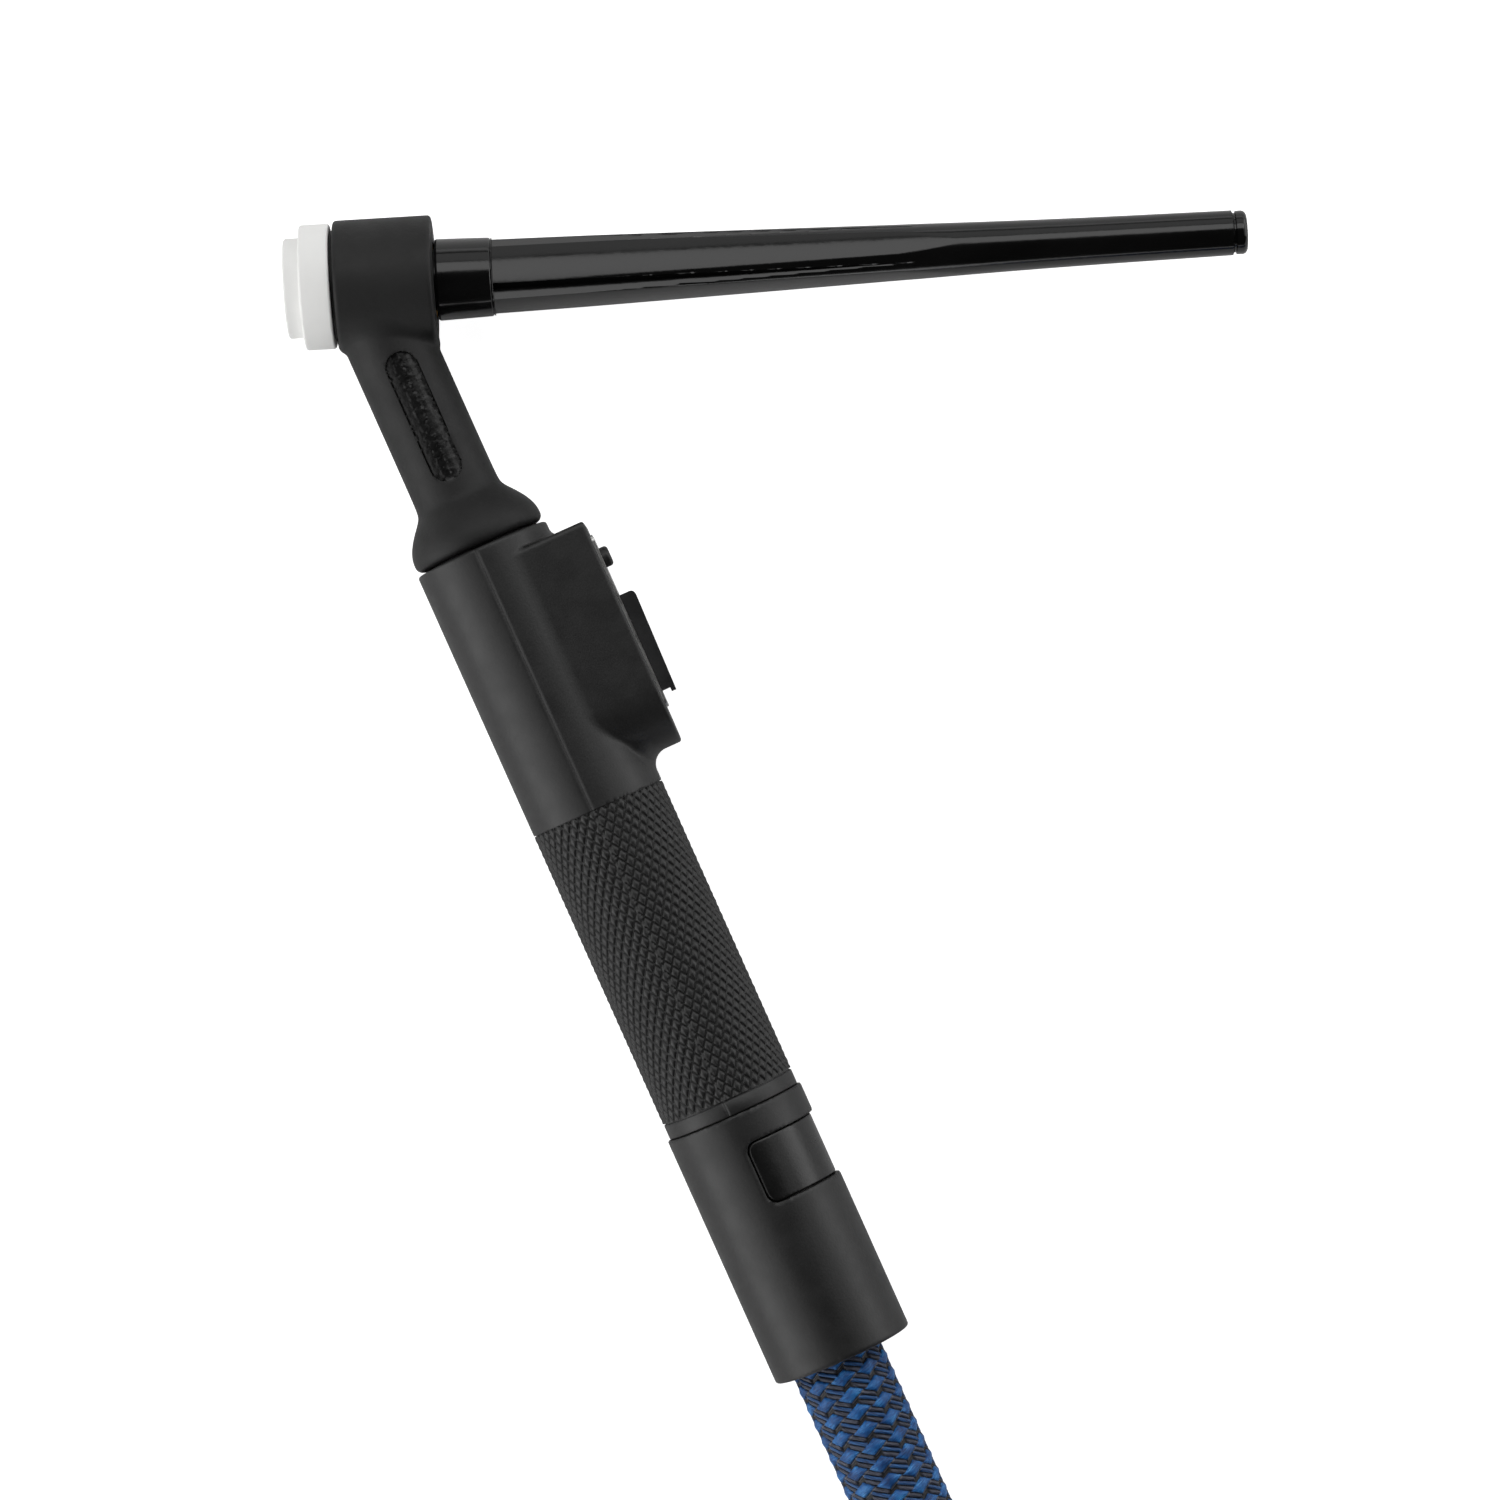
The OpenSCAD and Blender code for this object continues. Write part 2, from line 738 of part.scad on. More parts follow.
module cap_solid() {
    rotate_extrude() polygon(concat(
        [[0, head_back - cap_thread], [thread_r, head_back - cap_thread],
         [thread_r, seal_at - seal_minor - slip], [seal_groove_r, seal_at - seal_minor - slip],
         [seal_groove_r, seal_at + seal_minor + slip], [thread_r, seal_at + seal_minor + slip],
         [thread_r, cap_start], [cap_ring_r - 0.3, cap_start], [cap_ring_r, cap_start + 0.4],
         [cap_base_r + 0.05, shoulder - 0.2], [cap_base_r - 0.1, shoulder]],
        [for (i = [0:16]) let (s = shoulder + 0.2 + (cap_groove - shoulder - 0.2) * i / 16) [cap_r(s), s]],
        [[cap_tip_r - 0.45, cap_groove + 0.1], [cap_tip_r - 0.45, cap_groove + tip_groove - 0.1],
         [tip_r, cap_groove + tip_groove]],
        corner_arc(tip_r - tip_round, cap_end - tip_round, tip_round, 0, 90, 6),
        [[0, cap_end]]
    ));
}

// One flute: a flat floor that follows the taper, then runs out at the surface
module flute(turn) {
    rotate([0, 0, turn]) rotate([90, 0, 0]) linear_extrude(flute_w, center = true)
        polygon([
            [flute_floor, flute_start],
            [cap_r(flute_end - 12) - 0.45, flute_end - 12],
            [cap_r(flute_end) + 0.15, flute_end],
            [2 * cap_base_r, flute_end],
            [2 * cap_base_r, flute_start]
        ]);
}

module back_cap() {
    color([0.05, 0.05, 0.05]) on_head() difference() {
        cap_solid();
        for (i = [0:flutes - 1])
            flute(180 - flute_turn + 360 / flutes * i);
        rod(head_back - cap_thread - over, cap_end - 8, tungsten_d / 2);
    }
}

// ---------- Switch module ----------

module button_opening(gap) {
    translate([button_start - gap, -button_half - gap])
        square([button_len + 2 * gap, button_w + 2 * gap]);
}

module switch_plate() {
    middle = (carrier_start + carrier_end) / 2;
    color([0.8, 0.8, 0.78]) difference() {
        along_x(housing_reach, housing_reach + plate_t)
            translate([middle - plate_len / 2, -plate_w / 2]) rounded_rect([plate_len, plate_w], 1.2);
        along_x(housing_reach - over, housing_reach + plate_t + over) {
            button_opening(run);
            translate([knob_pos, 0]) circle(knob_r + run);
        }
    }
}

module switch_carrier() {
    color([0.13, 0.13, 0.14]) difference() {
        along_x(board_x, carrier_top)
            translate([carrier_start, -module_half])
                rounded_rect([carrier_end - carrier_start, 2 * module_half], 0.5);
        // pocket under the main button and its switch
        along_x(board_top, carrier_top + over) button_opening(run);
        // pocket under the small button
        along_x(board_top, knob_flange_x + knob_flange_t) translate([knob_pos, 0])
            square([2 * knob_flange_r + 2 * run, 2 * knob_flange_r + 2 * run], center = true);
        along_x(board_top, carrier_top + over) translate([knob_pos, 0]) circle(knob_r + run);
        // seat of the board with its switches, open to the back
        along_x(board_x - over, board_top)
            translate([carrier_start + 1, -board_half])
                square([carrier_end - carrier_start - 2, 2 * board_half]);
        along_x(board_top - over, plunger_top) {
            translate([main_switch_y, 0]) square([main_switch_len + slip, 6 + slip], center = true);
            translate([knob_pos, 0]) square([aux_switch_len + slip, 6 + slip], center = true);
        }
        placed() translate([pivot_x, pivot_y, -module_half - over])
            cylinder(h = 2 * (module_half + over), r = pin_r);
    }
}

// Side profile of the main button, as (reach, handle length)
button_slope = 0.35;
module button_profile() {
    round = 0.8;
    polygon(concat(
        [[button_under, button_start], [button_face - button_slope - button_cap_t, button_start],
         [button_face - button_slope - button_cap_t, button_start - 0.7],
         [button_face - button_slope, button_start - 0.7]],
        corner_arc(button_face - round, button_end - round, round, 0, 90, 6),
        [[button_under, button_end]]
    ));
}

module main_button() {
    color([0.1, 0.1, 0.11]) difference() {
        across(button_w) button_profile();
        placed() translate([pivot_x, pivot_y, -button_w]) cylinder(h = 2 * button_w, r = pin_r + 0.05);
        along_x(button_under - over, housing_reach) translate([main_spring_y, 0])
            circle(main_spring_r + 2 * slip);
    }
}

module button_pin() {
    color([0.75, 0.75, 0.76]) placed() translate([pivot_x, pivot_y, -module_half])
        cylinder(h = 2 * module_half, r = pin_r);
}

module main_spring() {
    color([0.7, 0.7, 0.72]) placed() translate([board_top, main_spring_y, 0]) rotate([0, 90, 0])
        ring(0, housing_reach - board_top - slip, main_spring_r, main_spring_r - spring_wall);
}

module aux_button() {
    color([0.1, 0.1, 0.11]) placed() translate([0, knob_pos, 0]) rotate([0, 90, 0])
        rotate_extrude() polygon(concat(
            [[0, knob_under], [knob_r, knob_under], [knob_r, knob_flange_x],
             [knob_flange_r, knob_flange_x], [knob_flange_r, knob_flange_x + knob_flange_t],
             [knob_r, knob_flange_x + knob_flange_t]],
            corner_arc(knob_r - 0.6, knob_face - 0.6, 0.6, 0, 90, 6),
            [[0, knob_face]]
        ));
}

module aux_spring() {
    color([0.7, 0.7, 0.72]) placed() translate([board_top + switch_h, knob_pos, 0]) rotate([0, 90, 0])
        ring(0, knob_flange_x - board_top - switch_h, knob_r + 0.45, knob_r + 0.1);
}

module circuit_board() {
    color([0.1, 0.35, 0.2]) along_x(board_x, board_top)
        translate([carrier_start + 1 + slip, -board_half + slip])
            square([board_end - carrier_start - 1 - slip, 2 * (board_half - slip)]);
}

module micro_switch(length_at, length) {
    color([0.15, 0.15, 0.16]) {
        along_x(board_top, board_top + switch_h) translate([length_at, 0])
            square([length, 6], center = true);
        along_x(board_top, plunger_top) translate([length_at, 0]) circle(1);
    }
}

module main_switch() {
    micro_switch(main_switch_y, main_switch_len);
}

module aux_switch() {
    micro_switch(knob_pos, aux_switch_len);
}

module control_wires() {
    color([0.75, 0.15, 0.12]) on_handle() wire_places() {
        rod(hose_start, wire_turn, wire_r);
        translate([0, 0, wire_turn]) {
            sphere(wire_r);
            rotate([0, 90, 0]) cylinder(h = board_x - wire_x, r = wire_r);
        }
    }
}

// ---------- Cable ----------

function unit(v) = v / norm(v);
function route_dir(points, i) =
    let (last = len(points) - 1)
    i == 0 ? unit(points[1] - points[0])
    : i == last ? unit(points[last] - points[last - 1])
    : unit(unit(points[i + 1] - points[i]) + unit(points[i] - points[i - 1]));
function tube_ring(centre, dir, radius) =
    let (side = unit(cross(dir, [0, 0, 1])), up = cross(side, dir))
    [for (k = [0:cable_sides - 1]) let (a = 360 * k / cable_sides)
        centre + radius * (cos(a) * side + sin(a) * up)];

module tube_along(points, radius) {
    n = cable_sides;
    last = len(points) - 1;
    rings = [for (i = [0:last]) each tube_ring(points[i], route_dir(points, i), radius)];
    walls = [for (i = [0:last - 1], k = [0:n - 1])
        each [[i * n + k, i * n + (k + 1) % n, (i + 1) * n + (k + 1) % n],
              [i * n + k, (i + 1) * n + (k + 1) % n, (i + 1) * n + k]]];
    polyhedron(
        points = rings,
        faces = concat(walls, [[for (k = [n - 1:-1:0]) k]], [[for (k = [0:n - 1]) last * n + k]])
    );
}

module cable_lead() {
    color([0.2, 0.4, 0.62]) translate([-mid_x, -mid_y, 0]) tube_along(lead_points, cable_r);
}

module cable_tail() {
    color([0.2, 0.4, 0.62]) translate([-mid_x, -mid_y, 0]) tube_along(tail_points, cable_r);
}

module cable_coil() {
    color([0.2, 0.4, 0.62]) translate([coil_x - mid_x, coil_y - mid_y, 0])
        rotate_extrude($fn = 96) translate([coil_in, 0])
            rounded_rect([coil_out - coil_in, coil_h], cable_r - 0.1);
}

module coil_tie() {
    inner = [coil_out - coil_in, coil_h - tie_in];
    color([0.07, 0.07, 0.08]) translate([coil_x - mid_x, coil_y - mid_y, 0]) rotate([0, 0, tie_at])
        translate([coil_in, tie_w / 2, 0]) rotate([90, 0, 0]) linear_extrude(tie_w) difference() {
            translate([-tie_t, 0]) rounded_rect([inner[0] + 2 * tie_t, coil_h + tie_t], cable_r);
            translate([0, tie_in]) rounded_rect(inner, cable_r - tie_t);
        }
}

// ---------- Connector ----------

module plug_boot() {
    color([0.08, 0.08, 0.08]) on_plug()
        rotate_extrude() polygon([[0, 0], [boot_tail_r - 0.6, 0], [boot_tail_r, 0.8],
            [boot_head_r, boot_len], [0, boot_len]]);
}

module plug_body() {
    color([0.1, 0.1, 0.1]) on_plug() difference() {
        union() {
            rod(boot_len, plug_end, plug_r);
            rod(plug_end, plug_face, plug_neck_r);
            rod(plug_end + plug_neck_len, plug_face, plug_flange_r);
        }
        rod(plug_face - 6, plug_face + over, centre_pin_r - 1);
        for (side = [-1, 1])
            translate([side * control_pin_at, 0, 0]) rod(plug_face - 4, plug_face + over, control_pin_r);
    }
}

module coupling_nut() {
    color([0.13, 0.13, 0.13]) on_plug() difference() {
        rod(nut_start, nut_start + nut_len, nut_r);
        rod(nut_start - over, nut_start + nut_len + over, plug_neck_r + run);
        rod(nut_start + nut_lip, nut_start + nut_len + over, nut_bore_r);
        for (i = [0:nut_grooves - 1])
            rotate([0, 0, 360 / nut_grooves * i]) translate([nut_r + 0.2, 0, 0])
                rod(nut_start + 2, nut_start + nut_len - 2, nut_groove_r);
    }
}

module centre_pin() {
    color([0.8, 0.65, 0.35]) on_plug() difference() {
        union() {
            rod(plug_face - 6, plug_face + centre_pin_len, centre_pin_r - 1);
            rod(plug_face, plug_face + centre_pin_len - 1, centre_pin_r);
        }
        rod(plug_face - 6 - over, plug_face + centre_pin_len + over, 1.5);
    }
}

module control_pins() {
    color([0.8, 0.65, 0.35]) on_plug() for (side = [-1, 1])
        translate([side * control_pin_at, 0, 0])
            rod(plug_face - 4, plug_face + control_pin_len, control_pin_r);
}

rear_shell();
front_shell();
rear_sleeve();
cable_bush();
power_hose();
hose_ferrule();
hose_union();
neck_tube();
head_body();
head_cover();
cup_gasket();
cap_seal();
back_cap();
switch_plate();
switch_carrier();
main_button();
button_pin();
main_spring();
aux_button();
aux_spring();
circuit_board();
main_switch();
aux_switch();
control_wires();
cable_lead();
cable_coil();
cable_tail();
coil_tie();
plug_boot();
plug_body();
coupling_nut();
centre_pin();
control_pins();
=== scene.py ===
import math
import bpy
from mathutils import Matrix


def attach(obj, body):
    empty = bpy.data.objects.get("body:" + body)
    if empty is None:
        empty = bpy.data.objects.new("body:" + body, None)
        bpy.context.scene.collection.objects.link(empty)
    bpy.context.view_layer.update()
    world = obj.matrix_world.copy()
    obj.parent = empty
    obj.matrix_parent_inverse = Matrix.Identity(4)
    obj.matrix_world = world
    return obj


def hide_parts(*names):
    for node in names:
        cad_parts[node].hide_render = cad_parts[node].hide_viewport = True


bl_info = {
    "name": "Welding torch",
    "version": (1, 0, 0),
    "blender": (4, 5, 0),
    "location": "View3D > Sidebar > Torch",
    "description": "Dresses the packed model of an air-cooled welding torch",
    "category": "Object",
}

import bmesh
import bpy
import numpy as np
from bpy.props import FloatProperty, IntProperty, PointerProperty
from mathutils import Vector

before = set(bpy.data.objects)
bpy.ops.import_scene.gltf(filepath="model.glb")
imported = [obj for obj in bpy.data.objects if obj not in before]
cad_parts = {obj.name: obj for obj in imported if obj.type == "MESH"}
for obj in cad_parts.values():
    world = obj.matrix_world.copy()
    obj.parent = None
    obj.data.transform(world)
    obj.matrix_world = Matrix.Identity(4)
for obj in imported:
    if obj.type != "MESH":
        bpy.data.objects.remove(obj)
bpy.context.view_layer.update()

# The handle's own frame, in millimetres: u towards the buttons, v along the handle towards the
# head, z up from the handle's axis. ORIGIN is the place of the row frame's origin in it.
AXIS_UP = 12.1
ORIGIN = np.array((62.02867, 104.30509, -AXIS_UP))
UP = np.array((0.0, 0.0, 1.0))
LEAN = math.radians(20.75)
HEAD = np.array((3.4, 194.1, 0.0))
HEAD_AXIS = np.array((math.cos(LEAN), -math.sin(LEAN), 0.0))
HEAD_SIDE = np.array((math.sin(LEAN), math.cos(LEAN), 0.0))
# The plane u where the handle's halves meet, where its grip and its smooth upper part start, the
# radii of that part and of the bores, the latch's middle, and how far the floors of the neck's
# recess and of the cap's flutes are from their axes.
PARTING = -0.7
GRIP_START = 47.25
BARREL_START = 99.75
BARREL = 11.65
BORE = 9.85
TOP_BORE = 8.7
LATCH_V = 33.7
RECESS_FLOOR = 6.85
FLUTE_FLOOR = 5.35
# The stored coil, the gap between its turns, and the plug that lies on it.
LAY_GAP = 0.2
TILT = math.radians(6.491464)
COIL = (103.8, -184.0)
COIL_TOP = 32.6
PLUG = np.array((COIL[0] - 90.0, COIL[1] + 29.0, COIL_TOP + 9.738459 - AXIS_UP))
PLUG_AXIS = np.array((0.0, -math.cos(TILT), math.sin(TILT)))


# ---------- Meshes ----------


def row(points):
    """Points of the handle's frame, in millimetres, as points of the row frame, in metres."""
    return (np.asarray(points, float) - ORIGIN) * 0.001


def grid(rows, columns, closed=False):
    """Quads between the rows of a table of vertices, each row a ring."""
    i = np.arange(rows if closed else rows - 1)[:, None]
    j = np.arange(columns)[None, :]
    k, n = (i + 1) % rows, (j + 1) % columns
    quads = np.stack([i * columns + j, i * columns + n, k * columns + n, k * columns + j], -1)
    return quads.reshape(-1, 4).tolist()


def tube(table):
    """The shell of a table of vertices, each row a ring, with a face over each end."""
    rows, columns = table.shape[:2]
    last = (rows - 1) * columns
    ends = [list(range(columns)), list(range(last, last + columns))]
    return table.reshape(-1, 3), grid(rows, columns) + ends


def piece(name, parts, body, slot, nodes=(), sharp=32.0, uv=None, finish=None):
    """One object of the given (vertices in the handle's frame, faces) shells, riding on a body."""
    verts, faces = [], []
    for points, polygons in parts:
        start = len(verts)
        verts += row(points).reshape(-1, 3).tolist()
        faces += [[start + i for i in polygon] for polygon in polygons]
    mesh = bpy.data.meshes.new(name)
    mesh.from_pydata(verts, [], faces)
    if uv is not None:
        layer = mesh.uv_layers.new(name="Weave")
        layer.data.foreach_set("uv", np.asarray(uv, np.float32).ravel())
    work = bmesh.new()
    work.from_mesh(mesh)
    bmesh.ops.recalc_face_normals(work, faces=work.faces)
    work.to_mesh(mesh)
    work.free()
    mesh.shade_smooth()
    mesh.set_sharp_from_angle(angle=math.radians(sharp))
    obj = bpy.data.objects.new(name, mesh)
    bpy.context.collection.objects.link(obj)
    obj.data.materials.append(material(finish or slot))
    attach(obj, body)
    if nodes:
        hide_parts(*nodes)
    return obj


def arc(centre, radius, start, end, steps):
    """Points (along, radius) of a rounded edge; angles in degrees from the radial direction."""
    turn = np.radians(np.linspace(start, end, steps))
    return [(centre[0] + radius * math.sin(a), centre[1] + radius * math.cos(a)) for a in turn]


def lathe(profile, origin, axis, side, segments):
    """A closed profile of (along, radius) points turned about an axis."""
    along, radius = np.array(profile, float).T[:, :, None, None]
    turn = 2 * math.pi * np.arange(segments) / segments
    ring = np.cos(turn)[:, None] * side + np.sin(turn)[:, None] * np.cross(axis, side)
    verts = origin + along * axis + radius * ring
    return verts.reshape(-1, 3), grid(len(profile), segments, closed=True)


# ---------- Distance functions, in millimetres ----------


def meet(a, b, radius):
    """Where both are: the edge between them is rounded."""
    return np.minimum(np.maximum(a, b), -radius) + np.hypot(
        np.maximum(a + radius, 0), np.maximum(b + radius, 0)
    )


def join(a, b, radius):
    """Where either is: the corner between them is filleted."""
    return np.maximum(np.minimum(a, b), radius) - np.hypot(
        np.maximum(radius - a, 0), np.maximum(radius - b, 0)
    )


def slab(x, low, high):
    return np.maximum(low - x, x - high)


def ease(x):
    x = np.clip(x, 0, 1)
    return x * x * (3 - 2 * x)


def surface(field, low, cell, count):
    """The zero surface of a distance function, with one vertex in each cell that it crosses."""
    low, cell, count = np.array(low), np.array(cell), np.array(count)
    axes = [low[i] + cell[i] * np.arange(count[i]) for i in range(3)]
    inside = field(*np.meshgrid(*axes, indexing="ij")) < 0
    total = sum(
        inside[a : a + count[0] - 1, b : b + count[1] - 1, c : c + count[2] - 1].astype(np.int8)
        for a in (0, 1)
        for b in (0, 1)
        for c in (0, 1)
    )
    mixed = (total > 0) & (total < 8)
    index = np.full(mixed.shape, -1)
    index[mixed] = np.arange(mixed.sum())
    points = low + (np.argwhere(mixed) + 0.5) * cell
    for _ in range(6):
        x, y, z = points.T
        here = field(x, y, z)
        slope = np.stack(
            [
                (field(*(points + step).T) - field(*(points - step).T)) / 0.02
                for step in 0.01 * np.eye(3)
            ],
            -1,
        )
        size = np.maximum((slope**2).sum(1), 0.25)
        points -= np.clip((here / size)[:, None] * slope, -0.35 * cell, 0.35 * cell)
    quads = []
    for a in range(3):
        b, c = (a + 1) % 3, (a + 2) % 3
        near = [slice(None)] * 3
        near[a], near[b], near[c] = slice(0, -1), slice(1, -1), slice(1, -1)
        far = list(near)
        far[a] = slice(1, None)
        start, end = inside[tuple(near)], inside[tuple(far)]
        for crossed, flip in ((start & ~end, False), (~start & end, True)):
            at = np.argwhere(crossed)
            at[:, b] += 1
            at[:, c] += 1
            step_b, step_c = np.eye(3, dtype=int)[b], np.eye(3, dtype=int)[c]
            corners = [at - step_b - step_c, at - step_c, at, at - step_b]
            if flip:
                corners.reverse()
            quads.append(np.stack([index[tuple(k.T)] for k in corners], -1))
    return points, np.concatenate(quads).tolist()


# ---------- Materials ----------


def linear(color):
    """An sRGB colour of 0 to 255 as a linear one."""
    return np.array([((c / 255 + 0.055) / 1.055) ** 2.4 if c > 10 else c / 3294.6 for c in color])


class Value:
    """An output socket of a graph, for sums written as usual."""

    def __init__(self, graph, socket):
        self.graph, self.socket = graph, socket

    def math(self, operation, *values):
        return self.graph.math(operation, self, *values)

    def __add__(self, other):
        return self.math("ADD", other)

    def __sub__(self, other):
        return self.math("SUBTRACT", other)

    def __rsub__(self, other):
        return self.graph.math("SUBTRACT", other, self)

    def __mul__(self, other):
        return self.math("MULTIPLY", other)

    def __truediv__(self, other):
        return self.math("DIVIDE", other)

    def __abs__(self):
        return self.math("ABSOLUTE")


class Graph:
    """The nodes of a material or of the world. Each method adds nodes and returns their Value."""

    def __init__(self, owner, coordinates="Object"):
        owner.use_nodes = True
        self.owner, self.tree = owner, owner.node_tree
        self.place = self.node("TexCoord", output=coordinates)

    def node(self, kind, *values, output=0, **settings):
        """A node with its first inputs fed with the values."""
        node = self.tree.nodes.new("ShaderNode" + kind)
        for key, value in settings.items():
            setattr(node, key, value)
        for socket, value in zip(node.inputs, values):
            self.feed(socket, value)
        return Value(self, node.outputs[output])

    def feed(self, socket, value):
        if isinstance(value, Value):
            self.tree.links.new(value.socket, socket)
        elif socket.type == "RGBA":
            socket.default_value = (*value, 1.0)
        else:
            socket.default_value = value

    def fill(self, node, values):
        """Feeds the node's inputs by their names."""
        for name, value in values.items():
            self.feed(node.inputs[name], value)

    def math(self, operation, *values):
        return self.node("Math", *values, operation=operation)

    def weave_place(self):
        """Across and along a woven surface, from its UV map."""
        split = self.node("SeparateXYZ", self.node("TexCoord", output="UV"))
        return split, Value(self, split.socket.node.outputs[1])

    def stretched(self, scale):
        node = self.tree.nodes.new("ShaderNodeMapping")
        self.fill(node, {"Vector": self.place, "Scale": scale})
        return Value(self, node.outputs[0])

    def noise(self, scale, detail=2.0, rough=0.5, vector=None):
        node = self.tree.nodes.new("ShaderNodeTexNoise")
        self.fill(node, {"Vector": vector or self.place, "Scale": scale, "Detail": detail,
                         "Roughness": rough})
        return Value(self, node.outputs[0])

    def span(self, value, low, high, start=0.0, end=1.0):
        """The value from low to high, eased onto start to end."""
        return self.node("MapRange", value, low, high, start, end, interpolation_type="SMOOTHSTEP")

    def mix(self, factor, first, second):
        node = self.tree.nodes.new("ShaderNodeMix")
        node.data_type = "RGBA"
        self.feed(node.inputs["Factor"], factor)
        self.feed(node.inputs[6], first)
        self.feed(node.inputs[7], second)
        return Value(self, node.outputs[2])

    def finish(self, color, rough, height, distance, strength=1.0,
               metallic=0.0, specular=0.5, sheen=0.0):
        """The material, with the height as a bump of this distance."""
        bump = self.tree.nodes.new("ShaderNodeBump")
        self.fill(bump, {"Strength": strength, "Distance": distance, "Height": height})
        self.fill(self.tree.nodes["Principled BSDF"], {
            "Base Color": color, "Roughness": rough, "Normal": Value(self, bump.outputs[0]),
            "Metallic": metallic, "Specular IOR Level": specular, "Sheen Weight": sheen})
        return self.owner


def moulded(name, srgb, rough, grain=2600.0, depth=0.00002, spread=0.16, specular=0.5, wear=0.15,
            hollow=None):
    """Moulded plastic or rubber: a fine grain, faint mottling and slightly rubbed edges. Where the
    mesh's attribute named by the last argument is 1, the surface is coarser, and painted shade
    darkens its colour."""
    graph = Graph(bpy.data.materials.new(name))
    base = linear(srgb)
    mottle = graph.noise(95.0, 4.0, 0.6)
    color = graph.mix(graph.span(mottle, 0.3, 0.7), base * (1 - spread), base * (1 + spread))
    edge = graph.span(graph.node("NewGeometry", output="Pointiness"), 0.515, 0.6, 0.0, wear)
    color = graph.mix(edge * graph.noise(380.0, 3.0), color, np.clip(base * 3.0 + 0.01, 0, 1))
    level = graph.span(graph.noise(240.0, 3.0), 0.3, 0.7, rough - 0.035, rough + 0.035)
    height = graph.noise(grain, 2.0, 0.6) + graph.noise(grain * 0.3) * 0.7
    if hollow:
        recess_shade_mask = graph.node("Attribute", output="Fac", attribute_name=hollow)
        coarse = graph.noise(1500.0, 3.0, 0.7)
        # painted shade: where the mask is 1, the colour goes down to 3 to 30 per cent of the base
        # colour
        deep = graph.mix(graph.span(coarse, 0.4, 0.75), base * 0.03, base * 0.3)
        color = graph.mix(recess_shade_mask, color, deep)
        height += coarse * recess_shade_mask * 1.2
        level -= recess_shade_mask * 0.25
    return graph.finish(color, level, height, depth, specular=specular)


def glossy_black(name, srgb, rough):
    """Pressed phenolic: deep black, polished, with a faint long grain and fine dust marks."""
    graph = Graph(bpy.data.materials.new(name))
    base = linear(srgb)
    flow = graph.noise(60.0, 4.0, 0.65, graph.stretched((0.35, 1.0, 1.0)))
    speck = graph.span(graph.noise(2100.0, 2.0, 0.7), 0.66, 0.78)
    color = graph.mix(graph.span(flow, 0.3, 0.75), base * 0.6, base * 1.5)
    color = graph.mix(speck * 0.2, color, base + 0.02)
    level = graph.span(flow, 0.3, 0.7, rough - 0.02, rough + 0.03) + speck * 0.08
    return graph.finish(color, level, graph.noise(900.0, 3.0) + flow * 2.0, 0.000012)


def metal(name, srgb, rough, stretch):
    """Turned or drawn metal: fine tool marks, patches of duller surface and darker stains."""
    graph = Graph(bpy.data.materials.new(name))
    base = linear(srgb)
    marks = graph.noise(1800.0, 3.0, 0.6, graph.stretched(stretch))
    patch = graph.noise(210.0, 4.0, 0.6)
    color = graph.mix(graph.span(patch, 0.35, 0.75), base, base * 0.64)
    level = graph.span(marks, 0.3, 0.7, rough - 0.06, rough + 0.08)
    level += graph.span(patch, 0.4, 0.8, 0.0, 0.12)
    return graph.finish(color, level, marks, 0.00002, metallic=1.0)


# The braid's pattern: columns around, the length of one repeat along, and the two edges of its
# large patches, in millimetres across and along the cable.
COLUMNS = 10
COLUMN_W = 5.03
REPEAT = 3.03
EDGE_1 = (3.0, 1.45)
EDGE_2 = (2.0, -1.25)
PATCH_AREA = EDGE_1[0] * EDGE_2[1] - EDGE_1[1] * EDGE_2[0]


def patch_place(x, y):
    """A place in a large patch: -0.5 to 0.5 along each of its two edges."""
    return (x * (EDGE_2[1] / PATCH_AREA) + y * (-EDGE_2[0] / PATCH_AREA),
            x * (-EDGE_1[1] / PATCH_AREA) + y * (EDGE_1[0] / PATCH_AREA))


